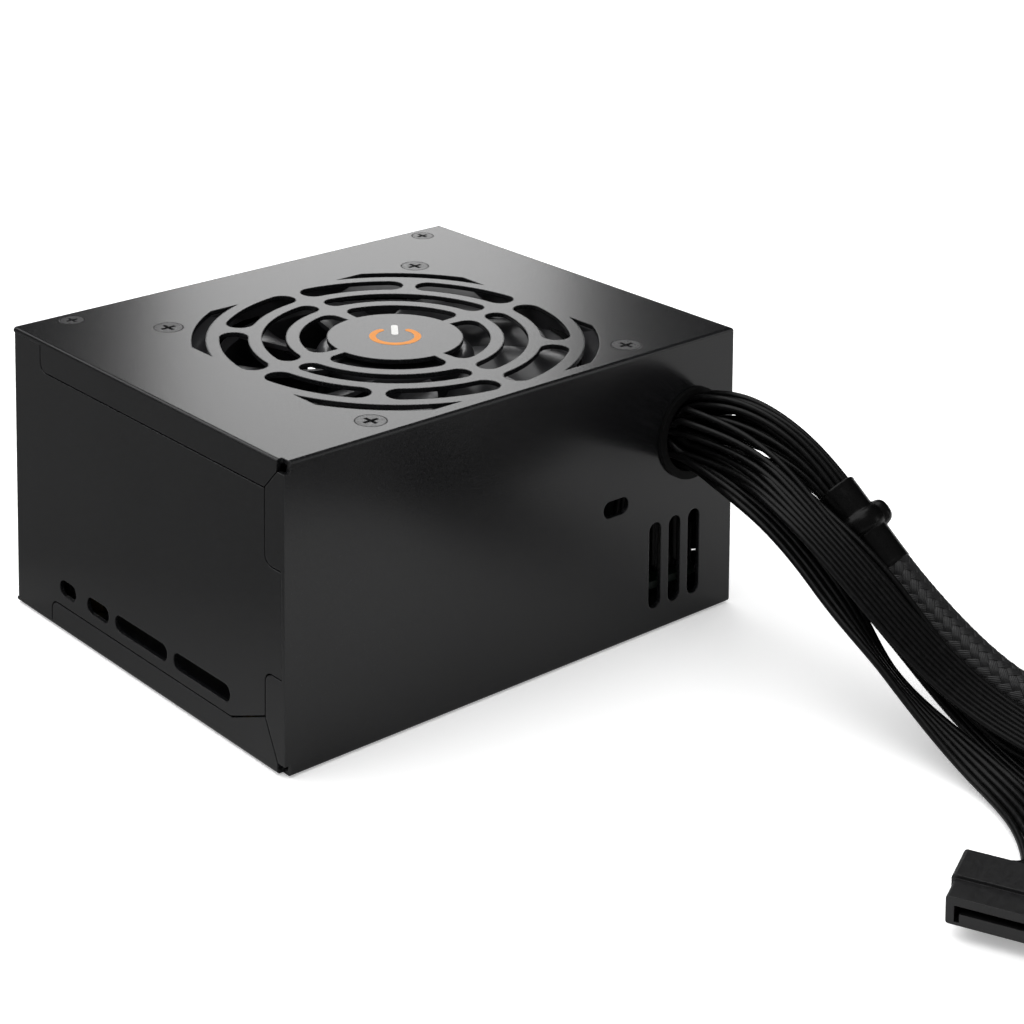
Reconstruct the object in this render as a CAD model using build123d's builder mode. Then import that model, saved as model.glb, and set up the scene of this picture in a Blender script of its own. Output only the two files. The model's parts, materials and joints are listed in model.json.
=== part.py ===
"""Small-form-factor computer power supply: steel case, top fan, mains inlet, board and output cables.

Millimetres, +Z up. The origin is the centre of the case's underside. The cable face looks along -Y,
the mains face along +Y, and the fan looks up.
"""

import os
from math import atan2, cos, degrees, radians, sin

from build123d import *

os.makedirs("parts", exist_ok=True)

# --- Driving dimensions ---------------------------------------------------------------------------

# Case
case_x = 125.0
case_y = 100.0
case_z = 63.5
sheet = 1.0
seam = 0.35
lap_gap = 0.05
bend_radius = 0.7

left = -case_x / 2
front = -case_y / 2
rear = case_y / 2
inside_left = left + sheet
inside_front = front + sheet
inside_rear = rear - sheet
inside_top = case_z - sheet

# Folded side flanges of the outer shell: y from the front face, z from the underside
flange_top_z = 56.8
flange_top_rear = rear - 11.4
tab_y = front + 6.5
upper_tab_z = 41.6
lower_tab_z = 19.4
flange_bottom_z = 5.5
flange_bottom_rear = rear - 15.0
flange_bottom_step_y = rear - 82.3
flange_bottom_step_z = 10.1
flange_corner = 2.0
notch_x = 1.4
notch_y = 2.5
notch_z = 2.4

# Fan and the grille stamped over it
fan_y = -7.5
fan_size = 80.0
fan_depth = 15.0
fan_pitch = 71.5
fan_bore = 38.3
fan_top = inside_top - lap_gap
fan_bottom = fan_top - fan_depth
grille_hub = 15.0
grille_rings = ((15.0, 21.0), (24.0, 29.3), (32.3, 38.6))
grille_corner = (41.6, 44.7)
grille_corner_square = 78.0
spoke = 3.0

# Screws
fan_head_r = 3.2
fan_screw_r = 1.9
case_head_r = 2.6
case_screw_r = 1.4
rear_screw_y = 45.9
rear_screw_x = (-49.8, 53.1)

# Openings of the cable face
exit_x = 49.5
exit_z = 42.5
exit_bore = 8.4
exit_hole = 9.2
oblong_x = 26.5
oblong_z = 31.25
louvre_x = (38.6, 44.6, 50.6)
louvre_z = 15.0
louvre_length = 19.5
slot_width = 3.7
side_slots = ((28.5, 6.6), (16.5, 8.6), (0.0, 19.6), (-22.0, 19.9))
side_slot_z = 9.9

# Mains face
mount_x = 113.0
mount_z = 51.5
mount_r = 1.75
inlet_x = -33.0
inlet_z = 36.0
inlet_body_x = 27.0
inlet_body_z = 19.8
inlet_screw_pitch = 40.0
switch_x = 4.0
switch_z = 36.0
switch_body_x = 12.8
switch_body_z = 19.0
switch_tilt = 10.0
vent_pitch = 5.6
vent_r = 2.3
vent_x = 33.0
vent_z = 28.0
low_vent_z = 15.5

# Main board
board_x = 114.0
board_y = 88.0
board_centre_y = -1.5
board_bottom = 7.0
board_thick = 1.6
board_top = board_bottom + board_thick
standoff_x = 51.0
standoff_y = (-24.0, 33.0)


def save(piece, name):
    """Label a finished piece and write it as its own node."""
    piece.part.label = name
    export_step(piece.part, f"parts/{name}.step")


# --- Outer shell: top, front and bottom folded from one sheet -----------------------------------


def flange_sketch(grow):
    """The four folded flanges of one side, in (y, z), free corners rounded and grown outwards by grow."""
    notch_top = case_z - notch_z
    mitre_y = front + notch_y
    top_flange = (
        (flange_top_rear, case_z),
        (flange_top_rear, flange_top_z),
        (tab_y, flange_top_z),
        (mitre_y, notch_top),
        (mitre_y, case_z),
    )
    upper_tab = (
        (front, upper_tab_z),
        (tab_y - seam, upper_tab_z),
        (tab_y - seam, flange_top_z),
        (mitre_y - seam, notch_top),
        (front, notch_top),
    )
    lower_tab = (
        (front, lower_tab_z),
        (tab_y - seam, lower_tab_z),
        (tab_y - seam, flange_bottom_step_z),
        (mitre_y - seam, notch_z),
        (front, notch_z),
    )
    bottom_flange = (
        (flange_bottom_rear, 0),
        (flange_bottom_rear, flange_bottom_z),
        (flange_bottom_step_y, flange_bottom_z),
        (tab_y, flange_bottom_step_z),
        (mitre_y, notch_z),
        (mitre_y, 0),
    )
    with BuildSketch() as flanges:
        for outline in (top_flange, upper_tab, lower_tab, bottom_flange):
            with BuildLine():
                Polyline(*outline, close=True)
            make_face()
            free_y, free_z = outline[1]
            fillet(flanges.vertices().sort_by_distance((free_y, free_z, 0))[0], flange_corner)
        if grow:
            offset(amount=grow, kind=Kind.INTERSECTION)
    return flanges.sketch


def ring_slots(inner, outer, count, start, sharp_inside):
    """A ring of curved slots between two radii, with a spoke between neighbours."""
    middle = (inner + outer) / 2
    half_width = (outer - inner) / 2
    end_space = spoke / 2 if sharp_inside else spoke / 2 + half_width
    reach = 180 / count - degrees(end_space / middle)
    with BuildSketch() as slots:
        with PolarLocations(0, count, start_angle=start):
            if sharp_inside:
                add(hub_slot(inner, outer, reach, half_width * 0.9))
            else:
                SlotArc(CenterArc((0, 0), middle, -reach, 2 * reach, mode=Mode.PRIVATE), 2 * half_width)
    return slots.sketch


def hub_slot(inner, outer, reach, corner):
    """One curved slot that meets the hub disc squarely and is rounded on its outer side only."""
    across, up = cos(radians(reach)), sin(radians(reach))
    with BuildSketch() as slot:
        with BuildLine():
            ThreePointArc((inner * across, -inner * up), (inner, 0), (inner * across, inner * up))
            Line((inner * across, inner * up), (outer * across, outer * up))
            ThreePointArc((outer * across, outer * up), (outer, 0), (outer * across, -outer * up))
            Line((outer * across, -outer * up), (inner * across, -inner * up))
        make_face()
        fillet(slot.vertices().sort_by(lambda v: v.X**2 + v.Y**2)[-2:], corner)
    return slot.sketch


def screw_seat(head_r, shank_r):
    """The space a countersunk screw needs through one sheet, its mouth at z = 0."""
    with BuildPart() as seat:
        with BuildSketch(Plane.XZ):
            with BuildLine():
                Polyline((0, 0), (head_r + 0.1, 0), (head_r + 0.1, -0.15), (shank_r + 0.1, -sheet),
                         (0, -sheet), close=True)
            make_face()
        revolve(axis=Axis.Z)
    return seat.part


with BuildPart() as outer_shell:
    with BuildSketch(Plane.YZ.offset(left)):
        add(flange_sketch(0))
    extrude(amount=sheet)
    mirror(about=Plane.YZ)
    with BuildSketch(Plane.YZ.offset(left)):
        with Locations((0, case_z / 2)):
            Rectangle(case_y, case_z)
        with Locations((sheet, case_z / 2)):
            Rectangle(case_y, case_z - 2 * sheet, mode=Mode.SUBTRACT)
    extrude(amount=case_x)
    # corner reliefs where three folds meet, cut through on the side away from the cables
    with Locations(*[(left, front, z) for z in (0, case_z)]):
        Box(2 * notch_x, 2 * notch_y, 2 * notch_z, mode=Mode.SUBTRACT)
    side_folds = [e for e in outer_shell.edges().filter_by(Axis.Y)
                  if abs(abs(e.center().X) + left) < 0.01 and min(e.center().Z, case_z - e.center().Z) < 0.01]
    front_folds = [e for e in outer_shell.edges().filter_by(Axis.X)
                   if abs(e.center().Y - front) < 0.01 and e.length > case_x / 2
                   and min(e.center().Z, case_z - e.center().Z) < 0.01]
    fillet(side_folds + front_folds, bend_radius)
    # fan grille, its screw holes and the rear screw holes
    with BuildSketch(Plane.XY.offset(inside_top)) as grille:
        with Locations((0, fan_y)):
            for ring, count, start, sharp in zip(grille_rings, (4, 4, 8), (45, 45, 22.5), (True, False, False)):
                add(ring_slots(*ring, count, start, sharp))
        with BuildSketch(mode=Mode.PRIVATE) as corner_arcs:
            Circle(grille_corner[1])
            Circle(grille_corner[0], mode=Mode.SUBTRACT)
            Rectangle(grille_corner_square, grille_corner_square, mode=Mode.INTERSECT)
        with Locations((0, fan_y)):
            add(corner_arcs.sketch)
    extrude(amount=sheet, mode=Mode.SUBTRACT)
    with Locations((0, fan_y, case_z)):
        with GridLocations(fan_pitch, fan_pitch, 2, 2):
            add(screw_seat(fan_head_r, fan_screw_r), mode=Mode.SUBTRACT)
    with Locations(*[(x, rear_screw_y, case_z) for x in rear_screw_x]):
        add(screw_seat(case_head_r, case_screw_r), mode=Mode.SUBTRACT)
    with Locations(*[Location((x, rear_screw_y, 0), (180, 0, 0)) for x in rear_screw_x]):
        add(screw_seat(case_head_r, case_screw_r), mode=Mode.SUBTRACT)
    # cable face: exit hole, clip hole and three upright louvres
    with BuildSketch(Plane.XZ.offset(-inside_front)):
        with Locations((exit_x, exit_z)):
            Circle(exit_hole)
        with Locations((oblong_x, oblong_z)):
            SlotOverall(7.5, slot_width)
        with Locations(*[(x, louvre_z) for x in louvre_x]):
            SlotOverall(louvre_length, slot_width, rotation=90)
    extrude(amount=sheet, mode=Mode.SUBTRACT)
save(outer_shell, "outer_shell")


# --- Inner chassis: mains face and both sides folded from one sheet -----------------------------

with BuildPart() as inner_chassis:
    with BuildSketch(Plane.YZ.offset(left)):
        with BuildSketch(mode=Mode.PRIVATE) as side_outline:
            with Locations((sheet / 2, case_z / 2)):
                Rectangle(case_y - sheet - lap_gap, case_z - 2 * sheet - 2 * lap_gap)
        add(side_outline.sketch.moved(Location((lap_gap / 2, 0))))
        add(flange_sketch(seam), mode=Mode.SUBTRACT)
        with Locations((front, 0), (front, case_z)):
            Rectangle(2 * notch_y + 4 * seam, 2 * notch_z + 4 * seam, mode=Mode.SUBTRACT)
    extrude(amount=sheet)
    mirror(about=Plane.YZ)
    with BuildSketch(Plane.YZ.offset(left)):
        for slot_y, slot_length in side_slots:
            with Locations((slot_y, side_slot_z)):
                SlotOverall(slot_length, slot_width)
    extrude(amount=sheet, mode=Mode.SUBTRACT)
    with BuildSketch(Plane.XZ.offset(-rear)):
        with Locations((0, case_z / 2)):
            Rectangle(case_x, case_z - 2 * sheet - 2 * lap_gap)
    extrude(amount=sheet)
    corner_folds = [e for e in inner_chassis.edges().filter_by(Axis.Z)
                    if abs(e.center().Y - rear) < 0.01 and abs(abs(e.center().X) + left) < 0.01]
    fillet(corner_folds, bend_radius)
    # screw tabs folded in under the shell's top and over its floor
    for tab_level in (inside_top - lap_gap - sheet, sheet + lap_gap):
        for side, screw_x in zip((-1, 1), rear_screw_x):
            with BuildSketch(Plane.XY.offset(tab_level)):
                with Locations((side * (case_x / 2 - sheet - 8.75), inside_rear - 4.5)):
                    Rectangle(17.5, 9.0)
                with Locations((screw_x, rear_screw_y)):
                    Circle(case_screw_r + 0.05, mode=Mode.SUBTRACT)
            extrude(amount=sheet)
    # mains inlet, rocker switch, case mounting holes and exhaust vents
    with BuildSketch(Plane.XZ.offset(-rear)):
        with Locations((inlet_x, inlet_z)):
            Rectangle(inlet_body_x + 0.2, inlet_body_z + 0.2)
        with Locations(*[(inlet_x + s * inlet_screw_pitch / 2, inlet_z) for s in (-1, 1)]):
            Circle(1.6)
        with Locations((switch_x, switch_z)):
            Rectangle(switch_body_x + 0.2, switch_body_z + 0.2)
        with Locations((0, case_z / 2)):
            with GridLocations(mount_x, mount_z, 2, 2):
                Circle(mount_r)
        with Locations((vent_x, vent_z)):
            with HexLocations(vent_pitch / 2, 6, 6):
                Circle(vent_r)
        with Locations((inlet_x + 6.0, low_vent_z)):
            with GridLocations(vent_pitch, vent_pitch, 9, 2):
                Circle(vent_r)
    extrude(amount=sheet, mode=Mode.SUBTRACT)
save(inner_chassis, "inner_chassis")


# --- Screws of the case --------------------------------------------------------------------------


def countersunk_screw(head_r, shank_r, length):
    """A shallow countersunk cross-recess screw, its head flush with z = 0 and its tip pointing down."""
    with BuildPart() as screw:
        with BuildSketch(Plane.XZ):
            with BuildLine():
                Polyline((0, 0), (head_r, 0), (head_r, -0.15), (shank_r, -sheet), (shank_r, 0.5 - length),
                         (shank_r - 0.5, -length), (0, -length), close=True)
            make_face()
        revolve(axis=Axis.Z)
        with BuildSketch(Plane.XY):
            Rectangle(1.15 * head_r, 0.26 * head_r)
            Rectangle(0.26 * head_r, 1.15 * head_r)
        extrude(amount=-0.5 * head_r, taper=8, mode=Mode.SUBTRACT)
    return screw.part


with BuildPart() as fan_screws:
    with Locations((0, fan_y, case_z)):
        with GridLocations(fan_pitch, fan_pitch, 2, 2):
            add(countersunk_screw(fan_head_r, fan_screw_r, 9.0))
save(fan_screws, "fan_screws")

with BuildPart() as case_screws:
    with Locations(*[(x, rear_screw_y, case_z) for x in rear_screw_x]):
        add(countersunk_screw(case_head_r, case_screw_r, 4.0))
    with Locations(*[Location((x, rear_screw_y, 0), (180, 0, 0)) for x in rear_screw_x]):
        add(countersunk_screw(case_head_r, case_screw_r, 4.0))
save(case_screws, "case_screws")


# --- Fan -----------------------------------------------------------------------------------------

fan_centre = (0, fan_y)
rim_thick = 3.0
rim_outer = fan_size / 2 - 0.1
base_thick = 1.6
base_r = 17.0
tube_outer = 3.6
tube_bore = 2.75
tube_top = fan_top - 4.5
shaft_r = 1.5
shaft_gap = 0.03
shaft_bottom = fan_bottom + 0.6
shaft_top = fan_top - 2.1
clip_z = fan_bottom + 1.15
clip_thick = 0.35
groove_r = 1.1
hub_r = 17.5
hub_wall = 1.3
hub_top = fan_top - 1.2
hub_bottom = fan_bottom + 2.9
magnet_inner = 14.6
magnet_outer = hub_r - hub_wall
core_r = 14.0
core_bottom = fan_bottom + 5.0
core_thick = 4.0
pole_neck = 3.0
pole_root = 5.0
pole_tip = 11.6
blade_count = 9
blade_tip = fan_bore - 0.9
blade_thick = 1.1

inlet_flare = Pos(0, fan_y, fan_top - 2.5) * (Cone(fan_bore, 45.0, 5.0) & Box(78, 78, 5.0))

with BuildPart() as fan_frame:
    for level in (fan_bottom, fan_top - rim_thick):
        with BuildSketch(Plane.XY.offset(level)):
            with Locations(fan_centre):
                RectangleRounded(fan_size, fan_size, 3.5)
        extrude(amount=rim_thick)
    with BuildSketch(Plane.XY.offset(fan_bottom)):
        with Locations(fan_centre):
            Circle(rim_outer)
    extrude(amount=fan_depth)
    with BuildSketch(Plane.XY.offset(fan_bottom)):
        with Locations(fan_centre):
            Circle(fan_bore)
    extrude(amount=fan_depth, mode=Mode.SUBTRACT)
    add(inlet_flare, mode=Mode.SUBTRACT)
    with BuildSketch(Plane.XY.offset(fan_bottom)):
        with Locations(fan_centre):
            with GridLocations(fan_pitch, fan_pitch, 2, 2):
                Circle(fan_screw_r + 0.1)
    extrude(amount=fan_depth, mode=Mode.SUBTRACT)
    # motor base on four struts, with the bearing tube
    with BuildSketch(Plane.XY.offset(fan_bottom)):
        with Locations(fan_centre):
            Circle(base_r)
            Rectangle(3.2, 2 * fan_bore + 1, rotation=45)
            Rectangle(3.2, 2 * fan_bore + 1, rotation=-45)
    extrude(amount=base_thick)
    with BuildSketch(Plane.XY.offset(fan_bottom)):
        with Locations(fan_centre):
            Circle(tube_outer)
    extrude(amount=tube_top - fan_bottom)
    with BuildSketch(Plane.XY.offset(fan_bottom)):
        with Locations(fan_centre):
            Circle(tube_bore)
    extrude(amount=fan_depth, mode=Mode.SUBTRACT)
save(fan_frame, "fan_frame")

with BuildPart() as fan_bearing:
    with BuildSketch(Plane.XY.offset(clip_z + 0.6)):
        with Locations(fan_centre):
            Circle(tube_bore)
            Circle(shaft_r + shaft_gap, mode=Mode.SUBTRACT)
    extrude(amount=tube_top - clip_z - 0.6)
save(fan_bearing, "fan_bearing")

with BuildPart() as fan_shaft:
    with BuildSketch(Plane.XY.offset(shaft_bottom)):
        with Locations(fan_centre):
            Circle(shaft_r)
    extrude(amount=shaft_top - shaft_bottom)
    chamfer(fan_shaft.edges().group_by(Axis.Z)[0], 0.2)
    with BuildSketch(Plane.XY.offset(clip_z)):
        with Locations(fan_centre):
            Circle(shaft_r + 1)
            Circle(groove_r, mode=Mode.SUBTRACT)
    extrude(amount=clip_thick, mode=Mode.SUBTRACT)
save(fan_shaft, "fan_shaft")

with BuildPart() as fan_clip:
    with BuildSketch(Plane.XY.offset(clip_z)):
        with Locations(fan_centre):
            Circle(tube_bore - 0.35)
            Circle(groove_r, mode=Mode.SUBTRACT)
        with Locations((tube_bore / 2, fan_y)):
            Rectangle(tube_bore, 0.9, mode=Mode.SUBTRACT)
    extrude(amount=clip_thick)
save(fan_clip, "fan_clip")


def blade_section(radius, turn, chord, rise, middle_z):
    """The cambered section of one blade on a plane square to its radius."""
    around = radians(turn)
    plane = Plane(
        origin=(radius * cos(around), radius * sin(around), middle_z),
        x_dir=(-sin(around), cos(around), 0),
        z_dir=(cos(around), sin(around), 0),
    )
    camber = 0.12 * chord
    with BuildSketch(plane) as section:
        with BuildLine():
            low, high = (-chord / 2, -rise / 2), (chord / 2, rise / 2)
            ThreePointArc(low, (-camber, camber), high)
            Line(high, (high[0], high[1] - blade_thick))
            ThreePointArc((high[0], high[1] - blade_thick), (-camber, camber - 1.3 * blade_thick),
                          (low[0], low[1] - blade_thick * 0.6))
            Line((low[0], low[1] - blade_thick * 0.6), low)
        make_face()
    return section.sketch


blade_z = (hub_top + hub_bottom) / 2
with BuildPart() as blade:
    add(blade_section(hub_r - 1.0, 0, 9.5, 7.5, blade_z))
    add(blade_section(28.0, -5, 13.5, 8.0, blade_z))
    add(blade_section(fan_bore + 1.5, -15, 18.0, 7.6, blade_z))
    loft()
blade_swept = blade.part & (
    Pos(0, 0, blade_z) * (Cylinder(blade_tip, fan_depth) - Cylinder(hub_r - 0.3, fan_depth))
)

with BuildPart() as fan_rotor:
    with BuildSketch(Plane.XY.offset(hub_bottom)):
        with Locations(fan_centre):
            Circle(hub_r)
    extrude(amount=hub_top - hub_bottom)
    fillet(fan_rotor.edges().group_by(Axis.Z)[-1], 2.0)
    with BuildSketch(Plane.XY.offset(hub_bottom)):
        with Locations(fan_centre):
            Circle(hub_r - hub_wall)
    extrude(amount=hub_top - hub_bottom - hub_wall, mode=Mode.SUBTRACT)
    with BuildSketch(Plane.XY.offset(tube_top + 0.4)):
        with Locations(fan_centre):
            Circle(tube_outer)
    extrude(amount=hub_top - tube_top - 0.8)
    with BuildSketch(Plane.XY.offset(hub_bottom)):
        with Locations(fan_centre):
            Circle(shaft_r)
    extrude(amount=shaft_top - hub_bottom, mode=Mode.SUBTRACT)
    with Locations(fan_centre):
        with PolarLocations(0, blade_count):
            add(blade_swept)
save(fan_rotor, "fan_rotor")

with BuildPart() as fan_magnet:
    with BuildSketch(Plane.XY.offset(hub_bottom + 0.3)):
        with Locations(fan_centre):
            Circle(magnet_outer)
            Circle(magnet_inner, mode=Mode.SUBTRACT)
    extrude(amount=8.0)
save(fan_magnet, "fan_magnet")

with BuildPart() as fan_stator:
    with BuildSketch(Plane.XY.offset(core_bottom)):
        with BuildSketch(mode=Mode.PRIVATE) as core:
            Circle(core_r)
            Circle(pole_tip, mode=Mode.SUBTRACT)
            Rectangle(5.0, 2 * core_r, rotation=45, mode=Mode.SUBTRACT)
            Rectangle(5.0, 2 * core_r, rotation=-45, mode=Mode.SUBTRACT)
            Rectangle(pole_neck, 2 * pole_tip + 1)
            Rectangle(2 * pole_tip + 1, pole_neck)
            Circle(pole_root + 0.6)
            Circle(tube_outer, mode=Mode.SUBTRACT)
        with Locations(fan_centre):
            add(core.sketch)
    extrude(amount=core_thick)
save(fan_stator, "fan_stator")

coil_start = pole_root + 1.4
coil_length = pole_tip - coil_start - 0.7
with BuildPart() as coil:
    with BuildSketch(Plane.YZ.offset(coil_start)):
        RectangleRounded(pole_neck + 3.2, core_thick + 3.0, 1.2)
        Rectangle(pole_neck + 0.2, core_thick + 0.2, mode=Mode.SUBTRACT)
    extrude(amount=coil_length)

with BuildPart() as fan_coils:
    with Locations((0, fan_y, core_bottom + core_thick / 2)):
        with PolarLocations(0, 4):
            add(coil.part)
save(fan_coils, "fan_coils")

with BuildPart() as fan_board:
    with BuildSketch(Plane.XY.offset(fan_bottom + base_thick)):
        with Locations(fan_centre):
            Circle(13.2)
            Circle(tube_outer, mode=Mode.SUBTRACT)
    extrude(amount=0.8)
    with BuildSketch(Plane.XY.offset(fan_bottom + base_thick + 0.8)):
        with Locations((9.0, fan_y + 7.0)):
            Rectangle(3.0, 1.6, rotation=40)
    extrude(amount=0.9)
save(fan_board, "fan_board")


# --- Mains inlet (IEC 60320 C14) and rocker switch ----------------------------------------------

inlet_flange = 3.0
inlet_depth = 21.0
inlet_cavity_x = 24.2
inlet_cavity_z = 16.2
inlet_cavity_depth = 16.5
inlet_corner = 3.5
inlet_back = rear - inlet_depth
pin_pitch = 7.0
pin_lift = 4.0
pin_x = 2.0
pin_z = 4.0
pin_tip = rear - 2.5
tab_length = 8.0
inlet_plane = Plane(origin=(inlet_x, rear, inlet_z), x_dir=(1, 0, 0), z_dir=(0, -1, 0))
pin_places = ((-pin_pitch, -pin_lift / 2), (0, pin_lift / 2), (pin_pitch, -pin_lift / 2))


def cut_corner_outline(width, height, corner):
    """A rectangle whose two upper corners are cut off, as a sketch about its centre."""
    x, z = width / 2, height / 2
    with BuildSketch() as outline:
        with BuildLine():
            Polyline((-x, -z), (x, -z), (x, z - corner), (x - corner, z), (corner - x, z), (-x, z - corner),
                     close=True)
        make_face()
    return outline.sketch


with BuildPart() as inlet_housing:
    with BuildSketch(inlet_plane):
        Rectangle(30.0, 22.0)
        with Locations(*[(s * inlet_screw_pitch / 2, 0) for s in (-1, 1)]):
            Circle(4.4)
        make_hull()
        with Locations(*[(s * inlet_screw_pitch / 2, 0) for s in (-1, 1)]):
            Circle(1.6, mode=Mode.SUBTRACT)
    extrude(amount=-inlet_flange)
    fillet(inlet_housing.faces().sort_by(Axis.Y)[-1].outer_wire().edges(), 0.6)
    with BuildSketch(inlet_plane):
        add(cut_corner_outline(inlet_body_x, inlet_body_z, inlet_corner))
    extrude(amount=inlet_depth)
    with BuildSketch(inlet_plane.offset(-inlet_flange)):
        add(cut_corner_outline(inlet_cavity_x, inlet_cavity_z, inlet_corner))
    extrude(amount=inlet_cavity_depth, mode=Mode.SUBTRACT)
    with BuildSketch(inlet_plane):
        with Locations(*pin_places):
            Rectangle(pin_x, pin_z)
    extrude(amount=inlet_depth, mode=Mode.SUBTRACT)
save(inlet_housing, "inlet_housing")

with BuildPart() as inlet_pins:
    with BuildSketch(Plane.XZ.offset(-inlet_back)):
        with Locations(*[(inlet_x + x, inlet_z + z) for x, z in pin_places]):
            RectangleRounded(pin_x, pin_z, 0.3)
    extrude(amount=inlet_back - pin_tip)
    with BuildSketch(Plane.XZ.offset(-inlet_back)):
        with Locations(*[(inlet_x + x, inlet_z + z) for x, z in pin_places]):
            Rectangle(0.8, 4.8)
    extrude(amount=tab_length)
save(inlet_pins, "inlet_pins")

with BuildPart() as inlet_screws:
    for s in (-1, 1):
        with BuildSketch(Plane.XZ.offset(-rear - inlet_flange)):
            with Locations((inlet_x + s * inlet_screw_pitch / 2, inlet_z)):
                Circle(2.9)
        extrude(amount=-1.8)
        with BuildSketch(Plane.XZ.offset(-rear - inlet_flange)):
            with Locations((inlet_x + s * inlet_screw_pitch / 2, inlet_z)):
                Circle(1.5)
        extrude(amount=7.0)
    fillet(inlet_screws.faces().group_by(Axis.Y)[-1].edges(), 0.7)
    with BuildSketch(Plane.XZ.offset(-rear - inlet_flange - 1.8)):
        with Locations(*[(inlet_x + s * inlet_screw_pitch / 2, inlet_z) for s in (-1, 1)]):
            Rectangle(3.0, 0.7)
            Rectangle(0.7, 3.0)
    extrude(amount=1.2, mode=Mode.SUBTRACT)
save(inlet_screws, "inlet_screws")

bezel_x = 15.0
bezel_z = 21.0
bezel_thick = 2.0
rocker_room_x = 10.8
rocker_room_z = 17.0
switch_back = rear - 12.5
switch_floor = rear - 9.0
pivot_y = rear - 1.8
pivot_r = 1.2
pivot_gap = 0.05
rocker_x = 10.4
rocker_edge = 7.9
rocker_high = 3.4
rocker_low = 1.5

with BuildPart() as switch_housing:
    with BuildSketch(Plane.XZ.offset(-rear)):
        with Locations((switch_x, switch_z)):
            RectangleRounded(bezel_x, bezel_z, 1.5)
    extrude(amount=-bezel_thick)
    fillet(switch_housing.faces().sort_by(Axis.Y)[-1].edges(), 0.7)
    with BuildSketch(Plane.XZ.offset(-rear)):
        with Locations((switch_x, switch_z)):
            Rectangle(switch_body_x, switch_body_z)
    extrude(amount=rear - switch_back)
    with BuildSketch(Plane.XZ.offset(-rear - bezel_thick)):
        with Locations((switch_x, switch_z)):
            Rectangle(rocker_room_x, rocker_room_z)
    extrude(amount=rear + bezel_thick - switch_floor, mode=Mode.SUBTRACT)
    with BuildSketch(Plane.YZ.offset(switch_x - switch_body_x / 2)):
        with Locations((pivot_y, switch_z)):
            Circle(pivot_r + pivot_gap)
    extrude(amount=switch_body_x, mode=Mode.SUBTRACT)
    with BuildSketch(Plane.XZ.offset(-switch_floor)):
        with Locations(*[(switch_x, switch_z + s * 5.0) for s in (-1, 1)]):
            Rectangle(6.3, 0.8)
    extrude(amount=switch_floor - switch_back, mode=Mode.SUBTRACT)
save(switch_housing, "switch_housing")

with BuildPart() as switch_contacts:
    with BuildSketch(Plane.XZ.offset(-switch_floor)):
        with Locations(*[(switch_x, switch_z + s * 5.0) for s in (-1, 1)]):
            Rectangle(6.3, 0.8)
    extrude(amount=switch_floor - switch_back + tab_length)
save(switch_contacts, "switch_contacts")

# the rocker is drawn in its own plane, already tilted to its off position
tilt = radians(-switch_tilt)
rocker_plane = Plane(
    origin=(switch_x - rocker_x / 2, pivot_y, switch_z),
    x_dir=(0, sin(tilt), -cos(tilt)),
    z_dir=(1, 0, 0),
)
pin_plane = Plane(
    origin=(switch_x - switch_body_x / 2 + 0.1, pivot_y, switch_z),
    x_dir=(0, sin(tilt), -cos(tilt)),
    z_dir=(1, 0, 0),
)
with BuildPart() as switch_rocker:
    with BuildSketch(rocker_plane):
        with BuildLine():
            ThreePointArc((-rocker_edge, rocker_high), (0, rocker_high - 1.4), (rocker_edge, rocker_high))
            Polyline((rocker_edge, rocker_high), (rocker_edge - 0.3, -rocker_low), (3.0, -4.4), (-3.0, -4.4),
                     (0.3 - rocker_edge, -rocker_low), (-rocker_edge, rocker_high))
        make_face()
    extrude(amount=rocker_x)
    crown = [e for e in switch_rocker.edges() if e.geom_type == GeomType.CIRCLE]
    fillet(crown, 0.4)
    with BuildSketch(pin_plane):
        Circle(pivot_r)
    extrude(amount=switch_body_x - 0.2)
save(switch_rocker, "switch_rocker")


# --- Wiring of the mains side -------------------------------------------------------------------

wire_r = 1.3
tab_end = inlet_back - tab_length
contact_end = switch_back - tab_length


def swept_wire(points, radius, leaving, arriving):
    """A round wire through the points, with the directions in which it leaves and arrives."""
    with BuildPart() as wire:
        with BuildLine() as path:
            Spline(*points, tangents=(leaving, arriving))
        with BuildSketch(Plane(origin=path.line @ 0, z_dir=path.line % 0)):
            Circle(radius)
        sweep()
    return wire.part


inwards = (0, -1, 0)
outwards = (0, 1, 0)
down = (0, 0, -1)
line_z = inlet_z - pin_lift / 2
live_wire = swept_wire([(inlet_x + pin_pitch, tab_end, line_z), (-18.4, 14.4, 32.9), (-6.8, 12, 32.5),
                        (switch_x, contact_end, switch_z - 5)], wire_r, inwards, outwards)
switched_wire = swept_wire([(switch_x, contact_end, switch_z + 5), (-3.3, 22.2, 34.2), (-7.7, 20.2, 25.6),
                            (-12, 25, board_top)], wire_r, inwards, down)
neutral_wire = swept_wire([(inlet_x - pin_pitch, tab_end, line_z), (-44.5, 15.1, 29.3), (-48.5, 15.8, 17.5),
                           (-50, 15.6, board_top)], wire_r, inwards, down)
earth_wire = swept_wire([(inlet_x, tab_end, inlet_z + pin_lift / 2), (-36, 12, 40),
                         (inside_left + wire_r + 0.1, 34, 43)], wire_r, inwards, outwards)

with BuildPart() as mains_wires:
    add([live_wire, switched_wire, neutral_wire, earth_wire])
save(mains_wires, "mains_wires")


# --- Main board ---------------------------------------------------------------------------------

standoffs = [(s * standoff_x, y) for s in (-1, 1) for y in standoff_y]

with BuildPart() as board_standoffs:
    for place in standoffs:
        with BuildSketch(Plane.XY.offset(sheet)):
            with Locations(place):
                RegularPolygon(3.1, 6)
                Circle(1.3, mode=Mode.SUBTRACT)
        extrude(amount=board_bottom - sheet)
save(board_standoffs, "board_standoffs")

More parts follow.
